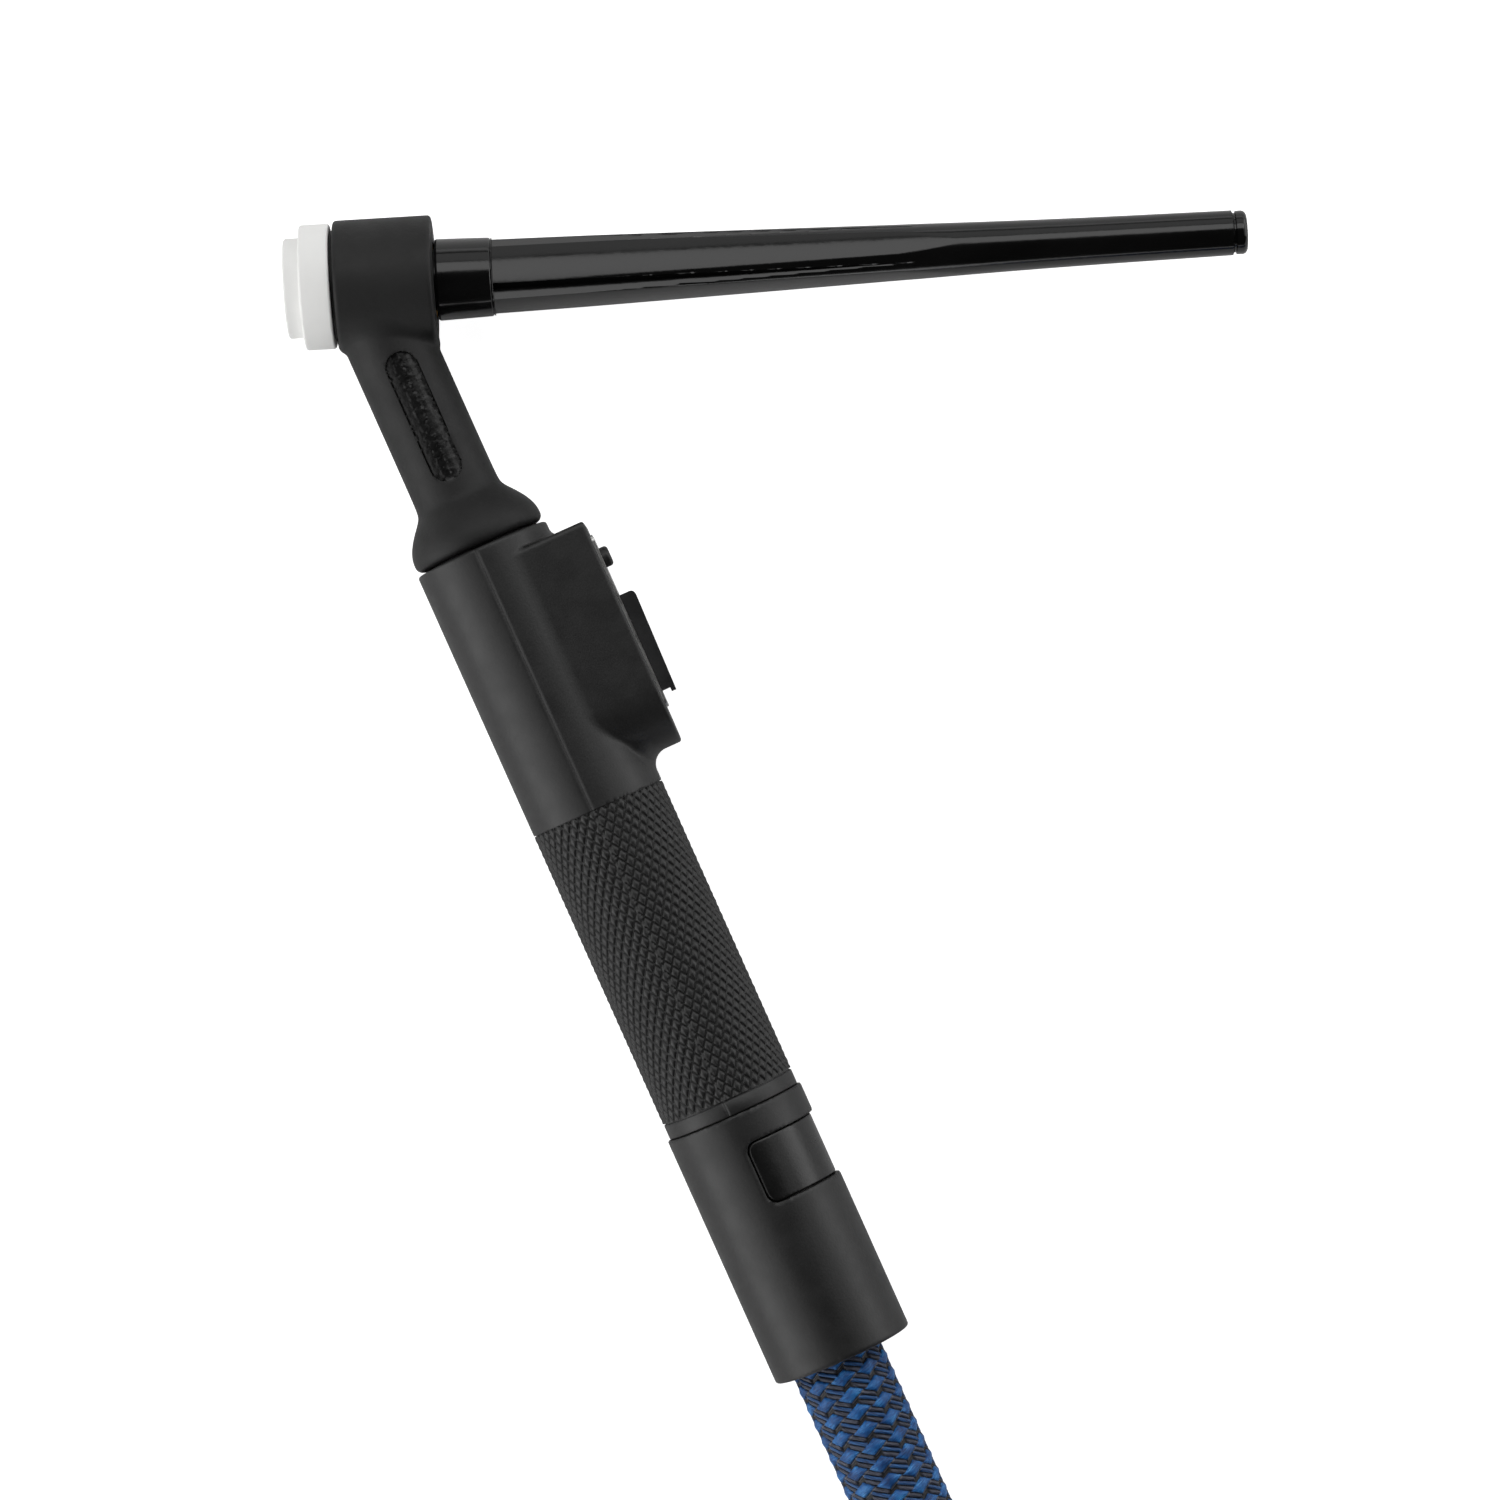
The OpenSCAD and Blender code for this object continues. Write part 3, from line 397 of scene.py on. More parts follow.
def braid(name):
    """Braided sleeve: wide blue floats one way, and narrow blue and grey strands the other."""
    graph = Graph(bpy.data.materials.new(name))
    u, v = graph.weave_place()

    def cell(value, shift, size):
        moved = value - shift
        return (moved - moved.math("ROUND")) * size

    a, b = patch_place(cell(u, 0.0, COLUMN_W), cell(v, 0.0, -REPEAT))
    reach_a = abs(a) * 2.0
    reach = reach_a.math("MAXIMUM", abs(b) * 2.0)
    rag = (graph.noise(1500.0) - 0.5) * 0.22
    patch = graph.span(reach + rag, 0.9, 1.02, 1.0, 0.0)
    # strands of the other direction, around the corner between four patches
    x, y = cell(u, 0.5, COLUMN_W), cell(v, 0.5, -REPEAT)
    lane = (y + x * 0.55) / 0.92
    number = lane.math("ROUND")
    across = abs(lane - number)
    middle = graph.span(abs(number), 0.4, 0.6, 1.0, 0.0)
    strand = graph.span(across, 0.33, 0.46, 1.0, 0.0)
    strand *= graph.span(abs(x - 0.15), 1.35, 1.8, 1.0, 0.0)
    # one thin pale strand along the lower edge of each patch
    thin = graph.span(abs(b * 2.0 - 1.17), 0.05, 0.12, 1.0, 0.0)
    thin *= graph.span(reach_a, 0.9, 1.1, 1.0, 0.0)

    def fibres(*place):
        return graph.noise(1.0, 4.0, 0.65, graph.node("CombineXYZ", *place))

    fibre = fibres((a + u.math("ROUND")) * 2.2, (b + v) * 26.0, u * 0.8)
    fibre_2 = fibres(x * 0.8, (lane + v) * 9.0, u)
    mixed = fibre * 0.65 + graph.noise(420.0) * 0.35
    blue = graph.mix(graph.span(mixed, 0.38, 0.6), linear((8, 40, 88)), linear((28, 106, 180)))
    # painted highlight: the brightest fibres of the floats are mixed towards a pale blue
    blue = graph.mix(graph.span(mixed, 0.54, 0.68), blue, linear((98, 176, 230)))
    shade = graph.span(fibre_2, 0.35, 0.65)
    dim_blue = graph.mix(shade, linear((14, 38, 78)), linear((40, 94, 152)))
    grey = graph.mix(shade, linear((24, 28, 42)), linear((80, 84, 100)))
    color = graph.mix(strand, linear((9, 11, 18)), graph.mix(middle, grey, dim_blue))
    color = graph.mix(thin, color, linear((96, 98, 106)))
    color = graph.mix(patch, color, blue)
    dome = patch * (1.6 - reach.math("POWER", 2.0))
    low = strand * (0.9 - across * 0.9)
    height = dome.math("MAXIMUM", low).math("MAXIMUM", thin * 0.8) + (fibre + fibre_2) * 0.22
    return graph.finish(color, 0.42, height, 0.00022, 0.8, specular=0.4, sheen=0.04)


def woven(name, srgb):
    """Woven strap: ribs across and finer threads along, a little fuzzy."""
    graph = Graph(bpy.data.materials.new(name))
    base = linear(srgb)
    u, v = graph.weave_place()
    weave = (u * (2 * math.pi / 0.9)).math("SINE") * (v * (2 * math.pi / 0.6)).math("SINE")
    fuzz = graph.noise(1600.0, 4.0, 0.7)
    color = graph.mix(graph.span(weave, -0.8, 0.8), base * 0.6, base * 1.7)
    color = graph.mix(graph.span(fuzz, 0.55, 0.75) * 0.35, color, base * 4)
    return graph.finish(color, 0.85, weave + fuzz * 1.4, 0.00012, specular=0.25, sheen=0.2)


# Each slot's kind of surface, its sRGB colour and roughness, and what else differs.
FINISHES = {
    "shell_plastic": (moulded, (18, 18, 18), 0.45, {}),
    "latch_plastic": (moulded, (9, 9, 9), 0.3, {}),
    "sleeve_plastic": (moulded, (20, 20, 20), 0.45, {"grain": 2200.0}),
    # the rubber gets painted shade in the neck's recess, through the mesh attribute named recess
    "head_rubber": (moulded, (19, 19, 19), 0.56,
                    {"grain": 1700.0, "depth": 0.00003, "specular": 0.36, "hollow": "recess"}),
    "gasket_white": (moulded, (240, 240, 238), 0.5, {"spread": 0.012, "wear": 0.0}),
    "cap_phenolic": (glossy_black, (7, 7, 7), 0.14, {}),
    "button_plastic": (moulded, (22, 22, 23), 0.4, {"grain": 2400.0}),
    "plate_metal": (metal, (214, 214, 212), 0.28, {"stretch": (1.0, 0.08, 1.0)}),
    "steel": (metal, (176, 178, 180), 0.3, {"stretch": (1.0, 0.2, 1.0)}),
    "brass": (metal, (206, 166, 92), 0.27, {"stretch": (0.2, 1.0, 0.2)}),
    "copper": (metal, (196, 118, 84), 0.3, {"stretch": (1.0, 0.15, 1.0)}),
    "inner_plastic": (moulded, (24, 24, 26), 0.52, {}),
    "hose_rubber": (moulded, (26, 25, 25), 0.62, {"grain": 1500.0, "depth": 0.00003}),
    "seal_rubber": (moulded, (18, 18, 18), 0.35, {"grain": 1900.0}),
    "board_green": (moulded, (18, 74, 42), 0.35, {"spread": 0.3}),
    "wire_red": (moulded, (150, 22, 20), 0.38, {"spread": 0.08}),
    "braid_blue": (braid, {}),
    "tie_fabric": (woven, (22, 22, 24), {}),
    "boot_rubber": (moulded, (25, 25, 26), 0.6, {"grain": 1500.0, "depth": 0.00003}),
    "plug_plastic": (moulded, (30, 30, 31), 0.44, {"grain": 2000.0}),
}
MADE = {}


def material(slot):
    """The finish of a material slot, made on first use."""
    if slot not in MADE:
        make, *values, more = FINISHES[slot]
        MADE[slot] = make(slot + "_finish", *values, **more)
    return MADE[slot]


# ---------- Settings ----------


class StageSettings(bpy.types.PropertyGroup):
    """The camera and its surroundings"""

    height: FloatProperty(
        name="Camera height", description="Camera above the handle's axis",
        default=1.0, min=0.3, max=5.0, unit="LENGTH")
    width: FloatProperty(
        name="View width", description="Width seen at the handle's axis",
        default=0.25, min=0.05, max=1.0, unit="LENGTH")
    turn: FloatProperty(
        name="Turn", description="Turn of the camera about the vertical",
        default=math.radians(-24.15), subtype="ANGLE")
    fill: FloatProperty(
        name="Fill", description="Strength of the dim light from all round",
        default=0.03, min=0.0, max=2.0)
    rim: FloatProperty(
        name="Rim", description="Brightness of the surroundings low down",
        default=1.2, min=0.0, max=3.0)


class CableSettings(bpy.types.PropertyGroup):
    """The braided cable and its coil"""

    diameter: FloatProperty(
        name="Diameter", description="Cable across its braid",
        default=0.0162, min=0.005, max=0.03, unit="LENGTH")
    outer_turn: FloatProperty(
        name="Outer turn", description="Radius of the coil's outer turn at the cable's middle",
        default=0.105, min=0.05, max=0.3, unit="LENGTH")
    layer_turns: FloatProperty(
        name="Turns in a layer", description="Turns of each of the coil's two spirals",
        default=2.5, min=1.0, max=6.0)
    fine_length: FloatProperty(
        name="Fine length", description="Length beside the handle that gets the braid's relief",
        default=0.036, min=0.01, max=0.1, unit="LENGTH")


class HandleSettings(bpy.types.PropertyGroup):
    """The two handle shells and the rear sleeve"""

    diamonds: IntProperty(
        name="Diamonds around", description="Diamonds of the grip's pattern around the handle",
        default=42, min=12, max=90)
    pitch: FloatProperty(
        name="Diamond length", description="Length of one diamond along the handle",
        default=0.00265, min=0.001, max=0.01, unit="LENGTH")
    depth: FloatProperty(
        name="Depth", description="Depth of the grooves between the diamonds",
        default=0.00044, min=0.0001, max=0.001, unit="LENGTH")


class HeadSettings(bpy.types.PropertyGroup):
    """The rubber cover of head and neck"""

    blend: FloatProperty(
        name="Blend", description="Radius between head and neck",
        default=0.0012, min=0.0003, max=0.005, unit="LENGTH")
    rough_floor: FloatProperty(
        name="Rough floor", description="Height of the grain in the neck's recess",
        default=0.00003, min=0.0, max=0.0003, unit="LENGTH")


class CapSettings(bpy.types.PropertyGroup):
    """The long back cap"""

    flutes: IntProperty(name="Flutes", description="Flutes around the cap", default=4, min=2, max=8)
    flute_turn: FloatProperty(
        name="Flute turn", description="Turn of the first flute from the upper side",
        default=math.radians(17), subtype="ANGLE")
    thread_pitch: FloatProperty(
        name="Thread pitch", description="Pitch of the cap's thread",
        default=0.00125, min=0.0005, max=0.003, unit="LENGTH")


# ---------- Stage ----------


def panel(name, centre, aim, size, radiance):
    """A soft rectangular lamp at centre that faces aim; radiance 1 looks white."""
    data = bpy.data.lights.new(name, "AREA")
    data.shape = "RECTANGLE"
    data.size, data.size_y = size
    data.energy = radiance * math.pi * size[0] * size[1]
    lamp = bpy.data.objects.new(name, data)
    bpy.context.collection.objects.link(lamp)
    lamp.location = centre
    lamp.rotation_euler = (aim - centre).to_track_quat("-Z", "Y").to_euler()
    lamp.visible_camera = False


class TORCH_OT_stage(bpy.types.Operator):
    """Add the camera, the lamps and the plain floor"""

    bl_idname = "torch.stage"
    bl_label = "Stage"

    def execute(self, context):
        settings = context.scene.torch_stage
        centre = row((27.1, 98.2, 0.0))
        data = bpy.data.cameras.new("camera")
        data.sensor_width = 36.0
        data.lens = 36.0 * settings.height / settings.width
        data.clip_start, data.clip_end = 0.05, 20.0
        camera = bpy.data.objects.new("camera", data)
        context.collection.objects.link(camera)
        camera.location = (centre[0], centre[1], centre[2] + settings.height)
        camera.rotation_euler = (0.0, 0.0, settings.turn)
        context.scene.camera = camera
        context.scene.view_settings.view_transform = "Standard"
        self.surroundings(context, settings)
        self.floor(context)

        # directions across the view, to its right and to its top, and the room's own
        top = Vector((-math.sin(settings.turn), math.cos(settings.turn), 0.0))
        east, north, up = (Vector(axis) for axis in np.eye(3))
        middle = Vector((0.0, 0.0, 0.01))
        lamps = {
            "lamp_top": (0.67 * top + 1.02 * up, (1.6, 0.56), 1.95),
            "lamp_high": (1.08 * top + 0.575 * up, (1.8, 0.56), 0.75),
            "lamp_low": (-0.95 * top + 0.1 * up, (1.6, 0.2), 1.2),
            "lamp_left": (-0.85 * east + 0.05 * north + 0.3 * up, (1.1, 0.55), 2.2),
            "lamp_left_high": (-0.64 * east + 0.77 * up, (1.1, 0.44), 1.2),
            "lamp_right": (0.85 * east + 0.3 * up, (1.1, 0.5), 1.7),
            "lamp_right_high": (0.64 * east + 0.77 * up, (1.1, 0.44), 0.5),
        }
        for name, (away, size, radiance) in lamps.items():
            panel(name, middle + away, middle, size, radiance)
        return {"FINISHED"}

    def surroundings(self, context, settings):
        """The room is bright low down all round, dark overhead, and white to the camera."""
        world = bpy.data.worlds.new("surroundings")
        context.scene.world = world
        graph = Graph(world, "Generated")
        height = graph.node("SeparateXYZ", graph.place, output="Z")
        band = graph.node("MapRange", height, 0.1, 0.22, settings.rim, settings.fill)
        seen = graph.node("LightPath", output="Is Camera Ray")
        level = graph.node("MapRange", seen, 0.0, 1.0, band, 1.0)
        background = graph.tree.nodes["Background"]
        graph.fill(background, {"Color": (1.0, 1.0, 1.0), "Strength": level})

    def floor(self, context):
        half, under = 4, -0.0003
        corners = [(x * half, y * half, under) for x, y in ((-1, -1), (1, -1), (1, 1), (-1, 1))]
        mesh = bpy.data.meshes.new("floor")
        mesh.from_pydata(corners, [], [(0, 1, 2, 3)])
        floor = bpy.data.objects.new("floor", mesh)
        context.collection.objects.link(floor)
        graph = Graph(bpy.data.materials.new("floor_finish"))
        shader = graph.tree.nodes["Principled BSDF"]
        graph.fill(shader, {
            "Base Color": (0.9, 0.9, 0.9), "Roughness": 0.9, "Specular IOR Level": 0.1})
        # emission that only the camera sees is added, so that the ground looks white
        seen = graph.node("LightPath", output="Is Camera Ray")
        glow = graph.node("Emission", (1.0, 1.0, 1.0), seen * 0.85)
        both = graph.node("AddShader", Value(graph, shader.outputs[0]), glow)
        graph.feed(graph.tree.nodes["Material Output"].inputs["Surface"], both)
        mesh.materials.append(graph.owner)


# ---------- Cable ----------


def curve_through(points, step):
    """A smooth line through the points, sampled about every step."""
    points = np.array(points, float)
    ends = np.vstack([2 * points[0] - points[1], points, 2 * points[-1] - points[-2]])
    made = []
    for four in zip(ends, ends[1:], ends[2:], ends[3:]):
        gaps = [np.linalg.norm(b - a) for a, b in zip(four, four[1:])]
        knots = np.cumsum([0.0, *np.sqrt(gaps)])
        count = max(2, int(round(gaps[1] / step)))
        for t in np.linspace(knots[1], knots[2], count, endpoint=False):
            line = four
            for first, reach in ((0, 1), (0, 2), (1, 1)):
                low = knots[first:]
                line = [p + (q - p) * (t - low[i]) / (low[i + reach] - low[i])
                        for i, (p, q) in enumerate(zip(line, line[1:]))]
            made.append(line[0])
    made.append(points[-1])
    return np.array(made)


def cable_route(outer, turns, radius):
    """The cable's middle from the handle to the plug, in the handle's frame. Two spiral layers, one
    inwards and one outwards, and a last stretch that climbs onto them and bends into the plug."""
    lay = radius + 0.1
    pitch = 2 * radius + LAY_GAP
    down = [(1.5, AXIS_UP), (-7, AXIS_UP), (-15, 12.0), (-30, 11.0), (-45, lay + 1.3),
            (-60, lay + 0.3), *((v, lay) for v in (-80, -110, -140, -165, COIL[1]))]
    lead = [(COIL[0] - outer, v, up) for v, up in down]
    # turns in degrees: the inward layer, the quarter turn that climbs, and the swerve at the end
    inward, stay, swerve, end = 360 * turns, 90.0, 130, 2070
    turn = np.arange(0, end + 0.01, 2.5)
    layers = (0, inward, inward + stay, 2 * inward + stay)
    out = outer - pitch * np.interp(turn, layers, (0, turns, turns, 0))
    out -= 10 * ease((turn - end + swerve) / swerve)
    climb = ease((turn - inward + 20) / (stay + 40)) + ease((turn - 1870) / 130)
    up = lay + (pitch - LAY_GAP) * climb
    angle = np.radians(180 + turn)
    coil = np.stack([COIL[0] + out * np.cos(angle), COIL[1] + out * np.sin(angle), up], -1)
    bend = outer - 43
    high = PLUG[2] + AXIS_UP
    tail = [coil[-1]]
    tail += [(PLUG[0] + bend * (1 - math.sin(a)),
              COIL[1] + outer - 10 - bend * (1 - math.cos(a)),
              up[-1] + 0.9 * ease(a / 1.3)) for a in np.radians(np.arange(0, 76, 15))]
    tail += [(PLUG[0], PLUG[1] + back, high - back * math.tan(TILT)) for back in (5, 0)]
    route = np.vstack([curve_through(lead, 2.5)[:-1], coil[:-1], curve_through(tail, 2.5)])
    route[:, 2] -= AXIS_UP
    return route


def along(route):
    return np.concatenate([[0], np.cumsum(np.linalg.norm(np.diff(route, axis=0), axis=1))])


def at_lengths(places, length, route):
    return np.stack([np.interp(places, length, values) for values in route.T], -1)


def sampled(route, places):
    """The route's points and directions at these lengths from its start."""
    length = along(route)
    points, ahead, behind = (at_lengths(places + step, length, route) for step in (0, 1.2, -1.2))
    heading = ahead - behind
    return points, heading / np.linalg.norm(heading, axis=1)[:, None]


def braid_relief(column, repeat):
    """Height of the braid, 0 to 1, at a place in its pattern."""
    def cell(value, shift, size):
        moved = value - shift
        return (moved - np.round(moved)) * size

    a, b = patch_place(cell(column, 0, COLUMN_W), cell(repeat, 0, -REPEAT))
    reach = 2 * np.maximum(np.abs(a), np.abs(b))
    dome = ease((1.06 - reach) / 0.2) * (1.0 - 0.35 * reach**2)
    x, y = cell(column, 0.5, COLUMN_W), cell(repeat, 0.5, -REPEAT)
    lane = (y + 0.55 * x) / 0.92
    across = np.abs(lane - np.round(lane))
    strand = 0.62 * ease((0.5 - across) / 0.22) * ease((1.8 - np.abs(x - 0.15)) / 0.4)
    ridges = 0.07 * np.sin(2 * math.pi * 7 * b) * ease((1.0 - reach) / 0.2)
    return np.maximum(dome + ridges, strand)


def tube_rings(route, places, radius, segments, relief):
    """Rings of a tube along the route, and each vertex's place in the braid's pattern."""
    points, heading = sampled(route, places)
    side = np.cross(UP, heading)
    side /= np.linalg.norm(side, axis=1)[:, None]
    over = np.cross(heading, side)
    turn = 2 * math.pi * np.arange(segments + 1) / segments - math.pi
    column = COLUMNS * turn / (2 * math.pi) + 0.03
    column, repeat = np.meshgrid(column, (places - 7.45) / REPEAT)
    out = radius - relief * (1 - braid_relief(column, repeat))
    ring = np.sin(turn)[None, :, None] * side[:, None] + np.cos(turn)[None, :, None] * over[:, None]
    return points[:, None] + out[:, :, None] * ring, np.stack([column, repeat], -1)


class TORCH_OT_cable(bpy.types.Operator):
    """Add the braided cable, its tie and the boot of its plug"""

    bl_idname = "torch.cable"
    bl_label = "Cable"

    def execute(self, context):
        settings = context.scene.torch_cable
        radius = settings.diameter * 500
        outer = settings.outer_turn * 1000
        route = cable_route(outer, settings.layer_turns, radius)
        length = along(route)[-1]
        near_n, far_n = 280, 28
        near_at = np.arange(0, settings.fine_length * 1000, REPEAT / 16)
        far_at = np.arange(near_at[-1] + 0.4, length, 1.515)
        far_at[-1] = length
        near, near_uv = tube_rings(route, near_at, radius, near_n, 0.62)
        far, far_uv = tube_rings(route, far_at, radius, far_n, 0.12)
        verts = [near[:, :-1].reshape(-1, 3), far[:, :-1].reshape(-1, 3)]
        start = len(verts[0])
        faces, uv = [], []
        for first, at, table in ((0, near, near_uv), (start, far, far_uv)):
            rows, columns = at.shape[0], at.shape[1] - 1
            faces += [[first + i for i in quad] for quad in grid(rows, columns)]
            corners = np.stack([table[:-1, :-1], table[:-1, 1:], table[1:, 1:], table[1:, :-1]], 2)
            uv.append(corners.reshape(-1, 2))
        # the fine rings meet the plain ones, and both ends are closed
        last = start - near_n
        step = near_n // far_n
        for k in range(far_n):
            rim = [last + (step * k + i) % near_n for i in range(step + 1)]
            faces.append(rim + [start + (k + 1) % far_n, start + k])
            uv += [near_uv[-1, step * k : step * k + step + 1], far_uv[0, [k + 1, k]]]
        end = start + far_n * (len(far_at) - 1)
        faces += [list(range(near_n)), list(range(end, end + far_n))]
        uv += [near_uv[0, :-1], far_uv[-1, :-1]]
        cable = piece("cable", [(np.vstack(verts), faces)], "torch", "braid_blue",
                      ("cable_lead", "cable_coil", "cable_tail"), 60.0, np.vstack(uv))

        ties = self.tie(outer, radius, settings.layer_turns)
        boot = self.boot()
        return {"FINISHED"}

    def tie(self, outer, radius, turns):
        """A woven strap around the coil, with its end laid over and stitched."""
        low, high = outer - (2 * radius + LAY_GAP) * turns - radius, outer + radius
        top = 4 * radius + LAY_GAP
        thick, half_width = 1.6, 9.0
        angle = math.radians(240)
        out = np.array((math.cos(angle), math.sin(angle), 0.0))
        sideways = np.array((-math.sin(angle), math.cos(angle), 0.0))
        centre = np.array((*COIL, -AXIS_UP))

        def rounded(inner, rim, foot, head, corner):
            """Points (out, up) of a closed rounded rectangle."""
            made = []
            middles = ((rim - corner, head - corner), (inner + corner, head - corner),
                       (inner + corner, foot + corner), (rim - corner, foot + corner))
            for quarter, (x, y) in enumerate(middles):
                a = np.radians(90 * quarter + np.linspace(0, 90, 12))
                made += [*zip(x + corner * np.cos(a), y + corner * np.sin(a))]
            return np.array(made + made[:1])

        skin = rounded(low - thick, high + thick, 0.0, top + thick, radius)
        lining = rounded(low, high, 0.8, top, radius - thick)
        size = along(skin)
        share = np.concatenate([np.linspace(a, b, max(2, int((b - a) / 1.4) + 1), endpoint=False)
                                for a, b in zip(size, size[1:])])
        skin, lining = at_lengths(share, size, skin), at_lengths(share, size, lining)
        middle = (skin + lining) / 2
        count = len(share)
        ripple = 0.04 * (1 + np.sin(2 * math.pi * np.arange(count) / 3))[:, None]
        wide = np.linspace(-1, 1, 15)
        verts, uv = [], []
        for side, places, shift in ((skin, wide, 0), (lining, wide[::-1], 30)):
            for w in places:
                full = math.sqrt(1 - abs(w) ** 8)
                at = middle + (side - middle) * (0.45 + 0.55 * full)
                if side is skin:
                    at += (lining - skin) * ripple * full
                verts.append(centre + at[:, :1] * out + at[:, 1:] * UP + half_width * w * sideways)
                uv.append(np.stack([share, np.full(count, half_width * w + shift)], -1))
        faces = grid(count, len(verts), closed=True)
        parts = [(np.stack(verts, 1).reshape(-1, 3), faces)]
        loops = [np.stack(uv, 1).reshape(-1, 2)[np.array(faces)].reshape(-1, 2)]

        # the laid-over end, on the outer side
        up = np.linspace(7.5, 27.0, 26)
        over = np.linspace(-8.6, 8.6, 13)
        lift = np.ones(len(up))
        lift[[0, -1]] = 0.75
        tab = []
        for side, places in ((1, over), (0, over[::-1])):
            for w in places:
                level = high + 1.55 + side * lift * (0.8 if abs(w) > 8.5 else 1.0)
                tab.append(centre + level[:, None] * out + up[:, None] * UP + w * sideways)
        parts.append(tube(np.stack(tab, 1)))
        flat = np.meshgrid(up, np.linspace(-8.6, 8.6, len(tab)), indexing="ij")
        flat = np.stack(flat, -1).reshape(-1, 2)
        loops += [flat[face] for face in parts[-1][1]]

        # two rows of stitches through it
        turn = 2 * math.pi * np.arange(8) / 8
        ring = np.cos(turn)[:, None] * out + np.sin(turn)[:, None] * UP
        t = np.linspace(-0.5, 0.5, 5)[:, None, None]
        thread = 0.2 * np.sqrt(np.maximum(0.05, 1 - (2 * t) ** 4)) * ring + 1.05 * t * sideways
        for height in (9.2, 25.2):
            for w in np.arange(-7.6, 7.7, 1.52):
                place = centre + (high + 2.65) * out + height * UP + w * sideways
                parts.append(tube(place + thread))
                loops.append(np.zeros((sum(map(len, parts[-1][1])), 2)))
        return piece("coil_strap", parts, "torch", "tie_fabric", ("coil_tie",), 50.0,
                     np.vstack(loops))

    def boot(self):
        """The plug's tapered boot, ribbed so that it bends evenly."""
        def taper(s):
            return 9.6 + 3.2 * (s - 0.8) / 41.2

        bore = 8.15
        profile = [(6.0, bore), (0.5, bore), (0.0, 8.5), (0.0, 9.1), (0.25, 9.45),
                   (0.8, taper(0.8) - 0.02)]
        groove = ((-0.25, 0.0), (0.0, 0.12), (0.2, 0.5), (0.35, 1.1), (1.45, 1.1), (1.6, 0.5),
                  (1.8, 0.12))
        for s in 4.0 + 4.3 * np.arange(7):
            profile += [(s + step, taper(s) - cut) for step, cut in groove]
            profile.append((s + 2.05, taper(s + 2.05)))
        profile += [(36.0, taper(36)), (41.0, taper(41.0) - 0.02), (41.6, 12.55), (42.0, 12.1),
                    (42.0, bore)]
        side = np.array((1.0, 0.0, 0.0))
        return piece("bend_relief", [lathe(profile, PLUG, PLUG_AXIS, side, 96)], "torch",
                     "boot_rubber", ("plug_boot",), 40.0)


# ---------- Handle ----------


def half_barrel(rows, front, columns, relief=None):
    """A half shell of rows (v, radius, bore's radius, and 1 where the relief is cut in). The half
    ends at the parting plane, where its outer edge is broken into half of a fine groove."""
    limits = [math.acos(PARTING / radius) for _, radius, *_ in rows]
    middle, reach = (0.0, min(limits)) if front else (math.pi, math.pi - max(limits))
    angles = columns[np.abs(columns - middle) < reach - 0.02]
    turn = 1 if front else -1
    table = []
    for v, radius, bore, *cut in rows:
        seam = turn * math.sqrt((radius - 0.2) ** 2 - PARTING**2)
        if any(cut):
            radius = radius - relief(angles, v)
        limit = math.acos(PARTING / bore)
        back = middle + np.linspace(1, -1, 26) * (limit if front else math.pi - limit)
        u = np.concatenate([[PARTING], radius * np.cos(angles), [PARTING], bore * np.cos(back)])
        z = np.concatenate([[-seam], radius * np.sin(angles), [seam], bore * np.sin(back)])
        table.append(np.stack([u, np.full(len(u), v), z], -1))
    return tube(np.array(table))


def grip_rows(pitch):
    """Rows (v, radius, bore's radius, relief) from the band to the housing's barrel."""
    made = [(v, radius, 8.6, 0) for v, radius in (
        (44.4, 11.45), (44.5, 11.57), (44.65, 11.6), (46.8, 11.6), (46.95, 11.5), (47.0, 11.25))]
    made.append((47.2, 11.25, BORE, 0))
    count = int((99.6 - GRIP_START) / (pitch / 12))
    made += [(GRIP_START + i * pitch / 12, 11.7, BORE, 1) for i in range(count + 1)]
    ends = ((made[-1][0] + 0.03, 11.3), (99.72, 11.3), (99.8, 11.5))
    return made + [(v, radius, BORE, 0) for v, radius in ends]


def barrel_front(u, v, z):
    """The front half of the handle's smooth upper part, with its switch housing."""
    r = np.hypot(u, z)
    barrel = meet(r - BARREL, v - 147.0, 0.5)
    side = np.hypot(z, np.maximum(114.6 - v, 0)) - 10.4
    block = meet(meet(meet(side, v - 144.0, 0.8), u - 17.4, 0.5), 1.0 - u, 0.1)
    far = ease((u - 8.0) / 4.0)
    fillet = 0.45 + 2.3 * far * ease((110.0 - v) / 4.0) + 1.1 * far * ease((v - 141.0) / 2.5)
    whole = join(barrel, block, fillet)
    bore = r - np.where(v < 134.0, BORE, TOP_BORE)
    pocket = np.maximum(np.maximum(slab(v, 110.7, 141.3), np.abs(z) - 6.2), -u)
    whole = np.maximum(np.maximum(whole, -bore), -pocket)
    return np.maximum(np.maximum(whole, PARTING - u), BARREL_START - v)


def sleeve_field(u, v, z):
    r = np.hypot(u, z)
    ring = meet(r - 12.1, slab(v, 0.0, 44.3), np.where(v < 22, 0.5, 0.25))
    ring = meet(ring, 10.5 - r, 0.15)
    window = meet(-0.5 - u, np.abs(v - LATCH_V) - 5.5, 1.9)
    return meet(ring, -window, 0.22)


def latch_field(u, v, z):
    r = np.hypot(u, z)
    outline = meet(-0.35 - u, np.abs(v - LATCH_V) - 5.35, 1.8)
    return np.maximum(meet(r - 11.5, outline, 0.3), 10.2 - r)


